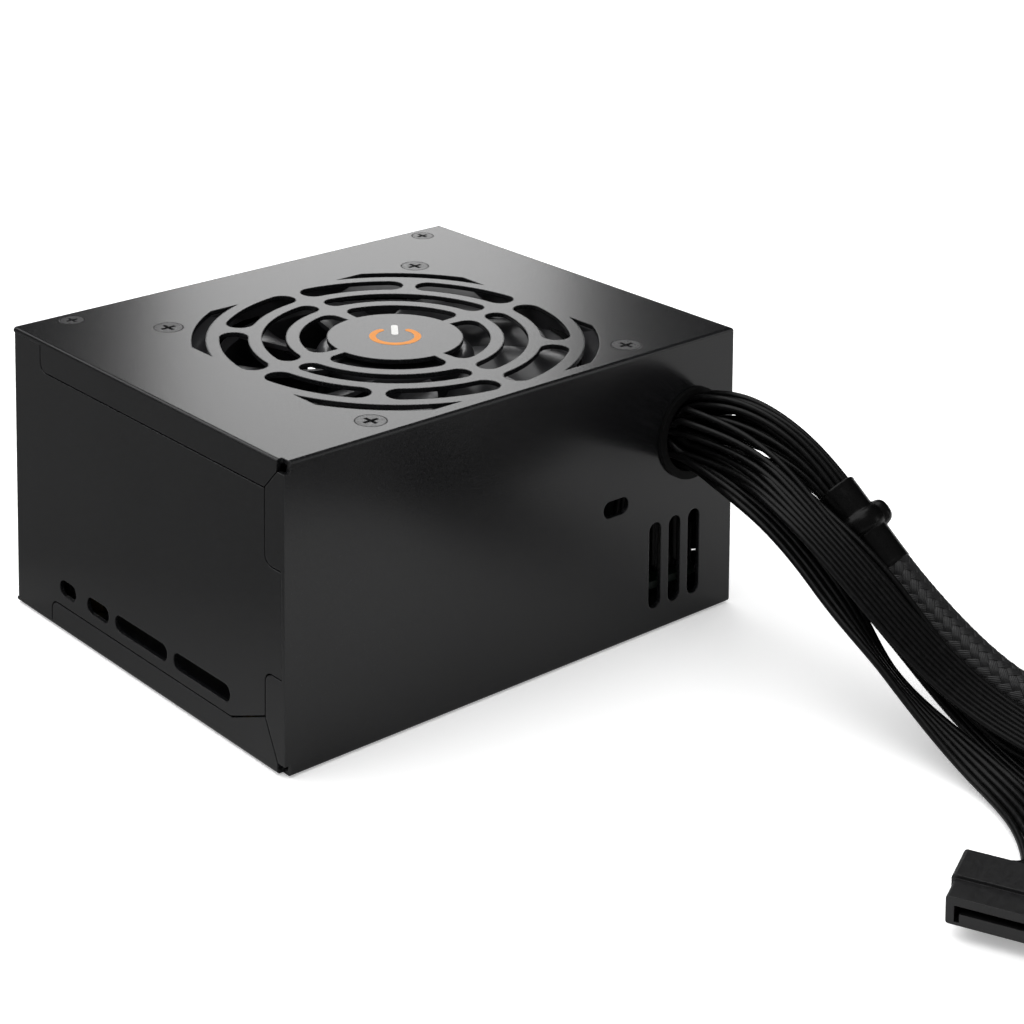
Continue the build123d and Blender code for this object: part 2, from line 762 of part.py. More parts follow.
# insulating film under the board, folded up beside the wall nearest the output cables
film = 0.4
film_bottom = sheet + 0.1
fold_outside = case_x / 2 - sheet - 0.3
fold_overlap = 1.0
fold_length = 76.0
fold_height = 14.0
with BuildPart() as insulating_sheet:
    with BuildSketch(Plane.XY.offset(film_bottom)):
        with Locations((0, board_centre_y - 1)):
            RectangleRounded(board_x, board_y - 4, 2.0)
        with Locations(*standoffs):
            Circle(3.5, mode=Mode.SUBTRACT)
        with Locations(((fold_outside + board_x / 2 - fold_overlap) / 2, board_centre_y)):
            Rectangle(fold_outside - board_x / 2 + fold_overlap, fold_length)
    extrude(amount=film)
    with BuildSketch(Plane.XY.offset(film_bottom)):
        with Locations((fold_outside - film / 2, board_centre_y)):
            Rectangle(film, fold_length)
    extrude(amount=fold_height)
save(insulating_sheet, "insulating_sheet")

with BuildPart() as main_board:
    with BuildSketch(Plane.XY.offset(board_bottom)):
        with Locations((0, board_centre_y)):
            RectangleRounded(board_x, board_y, 1.5)
        with Locations(*standoffs):
            Circle(1.7, mode=Mode.SUBTRACT)
    extrude(amount=board_thick)
save(main_board, "main_board")

with BuildPart() as board_screws:
    for place in standoffs:
        with BuildSketch(Plane.XY.offset(board_top)):
            with Locations(place):
                Circle(2.8)
        extrude(amount=1.9)
        with BuildSketch(Plane.XY.offset(board_top)):
            with Locations(place):
                Circle(1.25)
        extrude(amount=-6.0)
    fillet(board_screws.faces().group_by(Axis.Z)[-1].edges(), 0.8)
    with BuildSketch(Plane.XY.offset(board_top + 1.9)):
        with Locations(*standoffs):
            Rectangle(3.0, 0.7)
            Rectangle(0.7, 3.0)
    extrude(amount=-1.2, mode=Mode.SUBTRACT)
save(board_screws, "board_screws")


# --- Components on the board --------------------------------------------------------------------


def can_capacitor(radius, height):
    """A standing electrolytic can with its crimp groove and vented top, its foot at z = 0."""
    with BuildPart() as can:
        with BuildSketch(Plane.XZ):
            with BuildLine():
                Polyline((0, 0), (radius - 0.4, 0), (radius, 0.5), (radius, 2.2), (radius - 0.5, 2.8),
                         (radius, 3.4), (radius, height - 0.8), (radius - 0.8, height), (0, height), close=True)
            make_face()
        revolve(axis=Axis.Z)
        with BuildSketch(Plane.XY.offset(height)):
            Rectangle(1.2 * radius, 0.4)
            Rectangle(0.4, 1.2 * radius)
        extrude(amount=-0.3, mode=Mode.SUBTRACT)
    return can.part


with BuildPart() as bulk_capacitor:
    with Locations((-35.0, -28.0, board_top)):
        add(can_capacitor(12.5, 35.0))
save(bulk_capacitor, "bulk_capacitor")

with BuildPart() as output_capacitors:
    with Locations(*[(35.5, y, board_top) for y in (-7.0, -18.5, -30.0)]):
        add(can_capacitor(5.0, 20.0))
    with Locations(*[(x, 36.0, board_top) for x in (22.0, 32.0, 42.0)]):
        add(can_capacitor(4.0, 16.0))
save(output_capacitors, "output_capacitors")

with BuildPart() as x_capacitor:
    with BuildSketch(Plane.XY.offset(board_top)):
        with Locations((-17.0, 37.0)):
            Rectangle(18.0, 7.5)
    extrude(amount=14.0)
    fillet(x_capacitor.edges().filter_by(Axis.Z) + x_capacitor.edges().group_by(Axis.Z)[-1], 0.8)
save(x_capacitor, "x_capacitor")

with BuildPart() as fuse:
    with BuildSketch(Plane.YZ.offset(-8.0)):
        with Locations((36.5, board_top + 3.4)):
            Circle(2.4)
    extrude(amount=20.0)
    for clip_x in (-7.5, 7.5):
        with BuildSketch(Plane.YZ.offset(clip_x + 2 - 2.5)):
            with Locations((36.5, board_top + 3.4)):
                Circle(2.75)
            with Locations((36.5, board_top + 1.5)):
                Rectangle(3.6, 3.0)
        extrude(amount=5.0)
save(fuse, "fuse")


def toroid(centre, outer, inner, height):
    """A flat ring core with rounded edges, standing on the board's clearance."""
    with BuildPart() as ring:
        with BuildSketch(Plane.XY.offset(board_top + 2.0)):
            with Locations(centre):
                Circle(outer)
                Circle(inner, mode=Mode.SUBTRACT)
        extrude(amount=height)
        fillet(ring.edges(), 0.8)
    return ring


def toroid_winding(centre, outer, inner, height, turns, wire, spread):
    """Separate rectangular turns round a ring core, leaving a gap between the two half windings."""
    with BuildPart() as turn:
        with BuildSketch(Plane.XZ):
            with Locations(((outer + inner) / 2, height / 2)):
                RectangleRounded(outer - inner + 2 * wire + 0.2, height + 2 * wire + 0.2, wire)
                RectangleRounded(outer - inner + 0.2, height + 0.2, 0.5, mode=Mode.SUBTRACT)
        extrude(amount=wire / 2, both=True)
    with BuildPart() as winding:
        with Locations((*centre, board_top + 2.0)):
            for side in (0, 180):
                with PolarLocations(0, turns, start_angle=side - spread / 2, angular_range=spread):
                    add(turn.part)
    return winding


save(toroid((-37.0, 31.5), 8.2, 4.6, 7.0), "filter_choke_core")
save(toroid_winding((-37.0, 31.5), 8.2, 4.6, 7.0, 9, 1.0, 140), "filter_choke_winding")
save(toroid((38.0, 14.0), 11.6, 6.2, 9.0), "output_choke_core")
save(toroid_winding((38.0, 14.0), 11.6, 6.2, 9.0, 12, 1.2, 160), "output_choke_winding")


def wound_core(centre, size_x, size_y, size_z, leg):
    """The core of a wound part: an E-E core, open at both ends in y, about a round middle leg."""
    with BuildPart() as core:
        with BuildSketch(Plane.XZ.offset(-centre[1] - size_y / 2)):
            with Locations((centre[0], board_top + 3.0 + size_z / 2)):
                Rectangle(size_x, size_z)
                Rectangle(size_x - 2 * leg, size_z - 2 * leg, mode=Mode.SUBTRACT)
                Rectangle(2 * leg, size_z)
        extrude(amount=size_y)
        fillet(core.edges().filter_by(Axis.Y), 0.3)
    return core


def bobbin(centre, size_x, size_y, size_z, leg):
    """The bobbin and its winding, in the core's windows round the middle leg, on four feet."""
    window = size_z - 2 * leg
    middle_z = board_top + 3.0 + size_z / 2
    with BuildPart() as coil_body:
        for level, thick, grow in ((-window / 2 + 0.1, 1.2, 3.0), (-window / 2 + 1.3, window - 2.6, 2.4),
                                   (window / 2 - 1.3, 1.2, 3.0)):
            with BuildSketch(Plane.XY.offset(middle_z + level)):
                with Locations(centre):
                    RectangleRounded(size_x - 2 * leg - 0.4, size_y + 2 * grow, 2.0)
                    Rectangle(2 * leg + 0.2, size_y + 0.2, mode=Mode.SUBTRACT)
            extrude(amount=thick)
        with BuildSketch(Plane.XY.offset(board_top)):
            with Locations(centre):
                with GridLocations(size_x - 2 * leg - 4.0, size_y + 4.2, 2, 2):
                    Rectangle(3.0, 1.6)
        extrude(amount=middle_z - window / 2 - board_top + 0.2)
    return coil_body


boost_choke = ((-36.0, 3.0), 22.0, 13.0, 18.0, 3.5)
main_transformer = ((2.0, -14.0), 24.0, 20.0, 26.0, 4.0)
standby_transformer = ((0.0, 17.5), 14.0, 8.0, 12.0, 2.2)

save(wound_core(*boost_choke), "boost_choke_core")
save(bobbin(*boost_choke), "boost_choke_winding")

with BuildPart() as transformer_cores:
    add([wound_core(*main_transformer).part, wound_core(*standby_transformer).part])
save(transformer_cores, "transformer_cores")

with BuildPart() as transformer_windings:
    add([bobbin(*main_transformer).part, bobbin(*standby_transformer).part])
save(transformer_windings, "transformer_windings")


def flat_package(width, height, thick, leads, foot):
    """A standing flat power package facing -X, its back at x = 0, its leads down to the board."""
    with BuildPart() as package:
        with BuildSketch(Plane.XY.offset(foot)):
            with Locations((-thick / 2, 0)):
                Rectangle(thick, width)
        extrude(amount=height)
        chamfer(package.edges().filter_by(Axis.Z).sort_by(Axis.X)[:2], 0.6)
        with BuildSketch(Plane.XY):
            with Locations((-thick / 2, 0)):
                with GridLocations(1, 0.78 * width / (leads - 1), 1, leads):
                    Rectangle(0.6, 1.0)
        extrude(amount=foot)
    return package.part


heatsink_thick = 2.5
heatsink_top = board_top + 33.0
primary_x = -17.0
secondary_x = 22.0
transistor_y = (-14.0, 0.0)
rectifier_y = (-29.0, -15.0, -1.0)

for name, plate_x, lip_side in (("primary_heatsink", primary_x, 1), ("secondary_heatsink", secondary_x, -1)):
    plate_y, plate_length = (-16.0, 46.0)
    with BuildPart() as heatsink:
        with BuildSketch(Plane.XY.offset(board_top + 1.5)):
            with Locations((plate_x, plate_y)):
                Rectangle(heatsink_thick, plate_length)
        extrude(amount=heatsink_top - board_top - 1.5)
        with BuildSketch(Plane.XY.offset(heatsink_top - heatsink_thick)):
            with Locations((plate_x + lip_side * 3.6, plate_y)):
                Rectangle(8.0, plate_length)
            with Locations((plate_x + lip_side * 5.6, plate_y)):
                with GridLocations(1, 6.0, 1, 7):
                    Rectangle(4.5, 2.0, mode=Mode.SUBTRACT)
        extrude(amount=heatsink_thick)
        with BuildSketch(Plane.XY.offset(board_top)):
            with Locations((plate_x, plate_y)):
                with GridLocations(1, plate_length - 6, 1, 2):
                    Rectangle(1.6, 2.6)
        extrude(amount=2.0)
        spots = transistor_y if lip_side > 0 else rectifier_y
        with BuildSketch(Plane.YZ.offset(plate_x - heatsink_thick)):
            with Locations(*[(y, board_top + 18.0) for y in spots]):
                Circle(1.3)
        extrude(amount=2 * heatsink_thick, mode=Mode.SUBTRACT)
    save(heatsink, name)

package_z = board_top + 18.0
with BuildPart() as power_transistors:
    with Locations(*[(primary_x - heatsink_thick / 2, y, board_top) for y in transistor_y]):
        add(flat_package(10.0, 15.0, 4.5, 3, 5.5))
    with BuildSketch(Plane.YZ.offset(primary_x - 10)):
        with Locations(*[(y, package_z) for y in transistor_y]):
            Circle(1.6)
    extrude(amount=9, mode=Mode.SUBTRACT)
save(power_transistors, "power_transistors")

with BuildPart() as output_rectifiers:
    with Locations(*[Location((secondary_x + heatsink_thick / 2, y, board_top), (0, 0, 180)) for y in rectifier_y]):
        add(flat_package(10.0, 15.0, 4.5, 3, 5.5))
    with BuildSketch(Plane.YZ.offset(secondary_x + heatsink_thick / 2)):
        with Locations(*[(y, package_z) for y in rectifier_y]):
            Circle(1.6)
    extrude(amount=9, mode=Mode.SUBTRACT)
save(output_rectifiers, "output_rectifiers")


def device_screw(length):
    """A pan-head screw along +X, its head's underside at x = 0."""
    with BuildPart() as screw:
        with BuildSketch(Plane.YZ):
            Circle(2.6)
        extrude(amount=-1.8)
        fillet(screw.faces().sort_by(Axis.X)[0].edges(), 0.7)
        with BuildSketch(Plane.YZ):
            Circle(1.25)
        extrude(amount=length)
        with BuildSketch(Plane.YZ.offset(-1.8)):
            Rectangle(2.8, 0.7)
            Rectangle(0.7, 2.8)
        extrude(amount=1.1, mode=Mode.SUBTRACT)
    return screw.part


with BuildPart() as device_screws:
    with Locations(*[(primary_x - heatsink_thick / 2 - 4.5, y, package_z) for y in transistor_y]):
        add(device_screw(8.0))
    with Locations(*[Location((secondary_x + heatsink_thick / 2 + 4.5, y, package_z), (0, 0, 180))
                     for y in rectifier_y]):
        add(device_screw(8.0))
save(device_screws, "device_screws")

with BuildPart() as bridge_rectifier:
    with Locations((-52.5, 3.0, board_top)):
        add(flat_package(22.0, 18.0, 3.6, 4, 4.0))
save(bridge_rectifier, "bridge_rectifier")

with BuildPart() as control_board:
    with BuildSketch(Plane.XY.offset(board_top)):
        with Locations((14.5, 18.0)):
            Rectangle(1.2, 22.0)
    extrude(amount=19.0)
    with BuildSketch(Plane.XY.offset(board_top + 5.0)):
        with Locations((15.8, 18.0)):
            Rectangle(1.4, 9.0)
    extrude(amount=6.0)
    with BuildSketch(Plane.XY.offset(board_top + 13.0)):
        with Locations((15.5, 12.0), (15.5, 16.0), (15.5, 23.0)):
            Rectangle(0.8, 2.4)
    extrude(amount=1.4)
save(control_board, "control_board")

# fan header, plug and lead
plug_x, plug_y = 30.0, -40.5
with BuildPart() as fan_plug:
    with BuildSketch(Plane.XY.offset(board_top)):
        with Locations((plug_x, plug_y)):
            Rectangle(8.0, 5.0)
    extrude(amount=9.0)
    chamfer(fan_plug.edges().group_by(Axis.Z)[-1], 0.5)
save(fan_plug, "fan_plug")

fan_lead = swept_wire([(9, -16.5, fan_bottom), (11.5, -19.4, 42.5), (24.8, -34.5, 34),
                       (plug_x, plug_y, board_top + 9)], 1.1, down, down)
with BuildPart() as fan_lead_piece:
    add(fan_lead)
save(fan_lead_piece, "fan_lead")


# --- Output cables ------------------------------------------------------------------------------

rest_z = 5.2
grommet_flange = 10.2
grommet_lip = 0.8

with BuildPart() as cable_grommet:
    with BuildSketch(Plane.XZ.offset(-inside_front - grommet_lip)):
        with Locations((exit_x, exit_z)):
            Circle(exit_hole - lap_gap)
    extrude(amount=sheet + 2 * grommet_lip)
    for face_y in (inside_front + grommet_lip, front):
        with BuildSketch(Plane.XZ.offset(-face_y)):
            with Locations((exit_x, exit_z)):
                Circle(grommet_flange)
        extrude(amount=grommet_lip)
    with BuildSketch(Plane.XZ.offset(-inside_front - grommet_lip)):
        with Locations((exit_x, exit_z)):
            Circle(exit_bore)
    extrude(amount=sheet + 2 * grommet_lip, mode=Mode.SUBTRACT)
save(cable_grommet, "cable_grommet")


def rise(y, start, end):
    """0 before start and 1 after end, smooth between: every cable runs towards -Y."""
    share = min(max((start - y) / (start - end), 0), 1)
    return share * share * (3 - 2 * share)


def across(along, roll):
    """The direction of a ribbon's width where it runs along a direction; a roll lowers its right edge."""
    side = Vector(1, 0, 0) - along * along.X
    side = side.normalized()
    return side * cos(radians(roll)) + side.cross(along) * sin(radians(roll))


ribbon_sections = 44


def ribbon(points, heading, shape):
    """A flat cable lofted along a smooth path. shape(y) gives its width, thickness and roll there."""
    with BuildLine() as path:
        Spline(*points, tangents=(upwards, heading))
    with BuildPart() as cable:
        for i in range(ribbon_sections + 1):
            at, along = path.line @ (i / ribbon_sections), path.line % (i / ribbon_sections)
            width, thick, roll = shape(at.Y)
            with BuildSketch(Plane(origin=at, x_dir=across(along, roll), z_dir=along)):
                RectangleRounded(width, thick, 0.4 * min(width, thick))
        loft()
    return cable


def end_plane(points, heading):
    """The plane on a cable's cut end, z along the cable, y up."""
    level = Vector(*heading).normalized()
    return Plane(origin=points[-1], x_dir=(-level.Y, level.X, 0), z_dir=level)


# where each cable runs, and the directions in which it leaves the board and meets its connector
upwards = (0, 0, 1)
main_path = [(52.4, -34, board_top), (52.4, -34, 26), (52.4, -36, 37.5), (52.4, -41, 43.6),
             (52.4, -50, 45.6), (53.2, -62, 47.8), (54.9, -75, 45.5), (56.5, -88, 36.5),
             (58.3, -100, 25.3), (60, -112, 16.4), (62.4, -125, 9.4), (67, -137, 5.8),
             (74.5, -147, rest_z), (86, -154, rest_z), (112, -158, rest_z)]
processor_path = [(50.3, -39.6, board_top), (50.3, -39.6, 26), (50.3, -41.2, 35.6), (50.3, -44.6, 39),
                  (50.6, -50, 40.2), (48, -62, 42.2), (44, -75, 42.3), (42.7, -88, 38.2),
                  (43.2, -100, 31.3), (44.9, -112, 22.4), (48.1, -125, 13.6), (51.9, -139, 8),
                  (57, -152, 5), (64.8, -163, 4.5), (77, -174, rest_z)]
graphics_path = [(49.5, -42, board_top), (49.5, -42, 25), (49.5, -43.2, 33.6), (49.5, -46, 37),
                 (49.5, -50, 38.2), (48.7, -61, 39.5), (47.6, -75, 39.7), (47.2, -88, 35.3),
                 (47.8, -96, 31.2), (48.8, -104, 25.8), (49.5, -111, 20.2), (50.6, -122, 12),
                 (52.4, -137, 4.8), (55.2, -149, 3), (57, -160, 1.4), (58, -171, 2.2), (58, -187, rest_z)]
drive_path = [(44.1, -35.9, board_top), (44.1, -35.9, 26), (44.1, -38, 37), (44.1, -43, 42.6),
              (44.1, -50, 43.7), (39.9, -56, 43.6), (38.2, -64, 39.9), (39.2, -75, 36.4), (40, -88, 30.6),
              (40.3, -101, 22.9), (40.9, -114, 13.2), (41.6, -127, 6.2), (40.6, -137, 2.8),
              (36, -148.5, 1.3), (27, -159, 1.6), (13, -167, rest_z)]
peripheral_path = [(49.5, -44.4, board_top), (49.5, -44.4, 25), (49.5, -45, 31.6), (49.5, -46.7, 35),
                   (49.5, -50, 36), (48.6, -60, 36.6), (47, -74, 36.5), (46.6, -87, 31.7),
                   (47.2, -98, 25.2), (48.6, -110, 16.6), (49.6, -124, 7), (48.8, -137, 2.2),
                   (45.6, -149, 1.2), (41, -163, 1.4), (37, -184, rest_z)]
main_heading = (1, 0, 0)
processor_heading = (1, -1, 0)
graphics_heading = (0, -1, 0)
drive_heading = (-0.9, -0.4, 0)
peripheral_heading = (-0.1, -1, 0)


def processor_shape(y):
    """Eight wires side by side."""
    return 11.4, 1.7, 0


def graphics_shape(y):
    """Six wires side by side, tilted where they lie under the processor cable's edge."""
    return 8.6, 1.7, -22 * rise(y, -62, -96) * (1 - rise(y, -100, -130))


def drive_shape(y):
    """Five wires: bunched in the exit hole, a rolled-over ribbon outside."""
    flat = rise(y, -58, -85)
    return 3.2 + 5.3 * flat, 4.6 - 2.9 * flat, 30 * rise(y, -55, -82) * (1 - rise(y, -112, -145))


def peripheral_shape(y):
    """Four wires side by side."""
    return 6.4, 1.7, 0


save(ribbon(processor_path, processor_heading, processor_shape), "processor_cable")
save(ribbon(graphics_path, graphics_heading, graphics_shape), "graphics_cable")
save(ribbon(drive_path, drive_heading, drive_shape), "drive_cable")
save(ribbon(peripheral_path, peripheral_heading, peripheral_shape), "peripheral_cable")

main_r = 3.9
sleeve_bore = 4.0
shrink_r = 4.45
sleeve_r = 4.4
shrink_start = -85.0
shrink_end = -99.0
boot_start = -150.0
boot_end = -153.0
tie_y = -93.6
tie_width = 5.0
tie_r = 5.2
tie_bore = 4.6

with BuildLine() as main_line:
    Spline(*main_path, tangents=(upwards, main_heading))


def share_at(line, y):
    """The share of the path's length at which it passes y."""
    low, high = 0.0, 1.0
    for _ in range(30):
        middle = (low + high) / 2
        if (line @ middle).Y > y:
            low = middle
        else:
            high = middle
    return (low + high) / 2


def tube_along(line, start_y, end_y, outer, bore):
    """A tube round the path between two values of y."""
    start, end = share_at(line, start_y), share_at(line, end_y)
    stretch = line.trim(start, end)
    with BuildPart() as tube:
        with BuildSketch(Plane(origin=stretch @ 0, z_dir=stretch % 0)):
            Circle(outer)
            Circle(bore, mode=Mode.SUBTRACT)
        sweep(path=stretch)
    return tube.part


main_edge = main_line.edges()[0]

with BuildPart() as main_cable:
    with BuildSketch(Plane(origin=main_edge @ 0, z_dir=main_edge % 0)):
        Circle(main_r)
    sweep(path=main_edge)
save(main_cable, "main_cable")

with BuildPart() as braided_sleeve:
    add(tube_along(main_edge, shrink_end - 0.05, boot_start, sleeve_r, sleeve_bore))
save(braided_sleeve, "braided_sleeve")

with BuildPart() as heat_shrink:
    add(tube_along(main_edge, shrink_start, shrink_end, shrink_r, sleeve_bore))
    add(tube_along(main_edge, boot_start - 0.05, boot_end, shrink_r, sleeve_bore))
save(heat_shrink, "heat_shrink")

tie_share = share_at(main_edge, tie_y)
tie_along = main_edge % tie_share
tie_plane = Plane(origin=main_edge @ tie_share, x_dir=across(tie_along, 0), z_dir=tie_along)
with BuildPart() as cable_tie:
    with BuildSketch(tie_plane):
        Circle(tie_r)
        with Locations((3.6, 3.6)):
            RectangleRounded(5.0, 5.0, 1.2, rotation=45)
        Circle(tie_bore, mode=Mode.SUBTRACT)
    extrude(amount=tie_width / 2, both=True)
save(cable_tie, "cable_tie")


# --- Connectors ---------------------------------------------------------------------------------

pitch = 4.2
cell = 2.9
cell_depth = 12.0
wall = 0.8
plug_length = 15.5
tower_slot = 6.0
terminal_size = 2.0
terminal_length = 9.0


def pin_grid(columns, rows, grid_pitch):
    """The centres of a connector's cells, in its own plane."""
    return [((c - (columns - 1) / 2) * grid_pitch, (r - (rows - 1) / 2) * grid_pitch)
            for c in range(columns) for r in range(rows)]


def pin_connector(columns, rows, grid_pitch=pitch, length=plug_length, latched=True):
    """A receptacle housing, its wire side at z = 0 and its mating side up, its latch towards +y."""
    width, height = columns * grid_pitch + wall, rows * grid_pitch + wall
    cells = pin_grid(columns, rows, grid_pitch)
    with BuildPart() as housing:
        with BuildSketch():
            Rectangle(width, height)
        extrude(amount=length)
        chamfer(housing.edges().group_by(Axis.Z)[0], 0.4)
        with BuildSketch(Plane.XY.offset(length)):
            with Locations(*cells):
                Rectangle(cell, cell)
        extrude(amount=-cell_depth, mode=Mode.SUBTRACT)
        with BuildSketch(Plane.XY.offset(length)):
            with GridLocations(grid_pitch, 1, columns + 1, 1):
                Rectangle(wall / 2, height)
            if rows > 1:
                Rectangle(width, wall / 2)
        extrude(amount=-tower_slot, mode=Mode.SUBTRACT)
        if latched:
            with BuildSketch(Plane.YZ.offset(-3.0)):
                with BuildLine():
                    Polyline((height / 2 - 0.3, 5.5), (height / 2 - 0.3, 8.5), (height / 2 + 1.6, 8.5),
                             (height / 2 + 1.3, length + 0.6), (height / 2 + 0.4, length + 0.6),
                             (height / 2 + 0.4, length + 1.8), (height / 2 + 2.4, length + 0.8),
                             (height / 2 + 2.8, 7.0), (height / 2 + 3.6, 0.8), (height / 2 + 2.6, 0.8),
                             (height / 2 + 1.7, 5.5), close=True)
                make_face()
            extrude(amount=6.0)
    return housing.part


def terminals(columns, rows, grid_pitch=pitch, length=plug_length):
    """The crimped terminals standing in a housing's cells."""
    with BuildPart() as pins:
        with BuildSketch(Plane.XY.offset(length - cell_depth)):
            with Locations(*pin_grid(columns, rows, grid_pitch)):
                Rectangle(terminal_size, terminal_size)
                Rectangle(terminal_size - 0.5, terminal_size - 0.5, mode=Mode.SUBTRACT)
        extrude(amount=terminal_length)
    return pins.part


def drive_connector_body():
    """A fifteen-way drive power plug, its wire side at z = 0, its L-keyed mouth up."""
    with BuildPart() as body:
        with BuildSketch():
            RectangleRounded(24.0, 6.4, 0.8)
        extrude(amount=9.0)
        with BuildSketch(Plane.XY.offset(9.0)):
            RectangleRounded(23.0, 5.0, 0.5)
        extrude(amount=6.0)
        with BuildSketch(Plane.XY.offset(15.0)):
            with Locations((0.6, 0.3)):
                Rectangle(19.6, 1.4)
            with Locations((-9.6, -0.5)):
                Rectangle(0.9, 3.0)
        extrude(amount=-5.5, mode=Mode.SUBTRACT)
    return body.part


main_end = end_plane(main_path, main_heading)
processor_end = end_plane(processor_path, processor_heading)
graphics_end = end_plane(graphics_path, graphics_heading)
peripheral_end = end_plane(peripheral_path, peripheral_heading)
drive_end = end_plane(drive_path, drive_heading)

with BuildPart() as main_connector:
    with Locations(main_end.location):
        add(pin_connector(12, 2))
save(main_connector, "main_connector")

with BuildPart() as processor_connector:
    with Locations(processor_end.location):
        add(pin_connector(4, 2))
save(processor_connector, "processor_connector")

with BuildPart() as graphics_connector:
    with Locations(graphics_end.location):
        add(pin_connector(3, 2))
save(graphics_connector, "graphics_connector")

with BuildPart() as peripheral_connector:
    with Locations(peripheral_end.location):
        add(pin_connector(4, 1, grid_pitch=5.08, length=18.0, latched=False))
save(peripheral_connector, "peripheral_connector")

with BuildPart() as drive_connector:
    with Locations(drive_end.location):
        add(drive_connector_body())
save(drive_connector, "drive_connector")

with BuildPart() as connector_terminals:
    with Locations(main_end.location):
        add(terminals(12, 2))
    with Locations(processor_end.location):
        add(terminals(4, 2))
    with Locations(graphics_end.location):
        add(terminals(3, 2))
    with Locations(peripheral_end.location):
        add(terminals(4, 1, grid_pitch=5.08, length=18.0))
save(connector_terminals, "connector_terminals")
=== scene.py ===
"""Studio scene of a small black computer power supply with its output cables on a pale floor."""

import json
import math

import bpy
import numpy as np
from mathutils import Matrix, Vector

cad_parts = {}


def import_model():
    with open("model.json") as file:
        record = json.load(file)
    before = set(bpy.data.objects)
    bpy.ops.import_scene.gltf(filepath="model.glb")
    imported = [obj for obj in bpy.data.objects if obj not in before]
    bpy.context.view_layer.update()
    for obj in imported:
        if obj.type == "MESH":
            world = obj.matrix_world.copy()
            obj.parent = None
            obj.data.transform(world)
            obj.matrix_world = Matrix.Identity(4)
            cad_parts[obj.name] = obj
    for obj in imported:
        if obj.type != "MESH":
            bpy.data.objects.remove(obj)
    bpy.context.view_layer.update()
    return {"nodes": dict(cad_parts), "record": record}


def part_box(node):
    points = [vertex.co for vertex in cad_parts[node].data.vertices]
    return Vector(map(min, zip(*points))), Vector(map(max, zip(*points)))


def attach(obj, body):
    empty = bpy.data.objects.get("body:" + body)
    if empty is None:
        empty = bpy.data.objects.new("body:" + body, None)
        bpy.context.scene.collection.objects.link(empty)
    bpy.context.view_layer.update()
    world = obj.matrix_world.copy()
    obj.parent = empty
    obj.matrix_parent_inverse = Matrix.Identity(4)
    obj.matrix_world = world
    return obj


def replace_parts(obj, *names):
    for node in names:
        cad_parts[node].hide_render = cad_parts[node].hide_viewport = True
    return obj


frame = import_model()
nodes = frame["nodes"]
MM = 0.001
NOISE_LOW, NOISE_HIGH = 0.3, 0.7


# --- Materials ------------------------------------------------------------------------------------


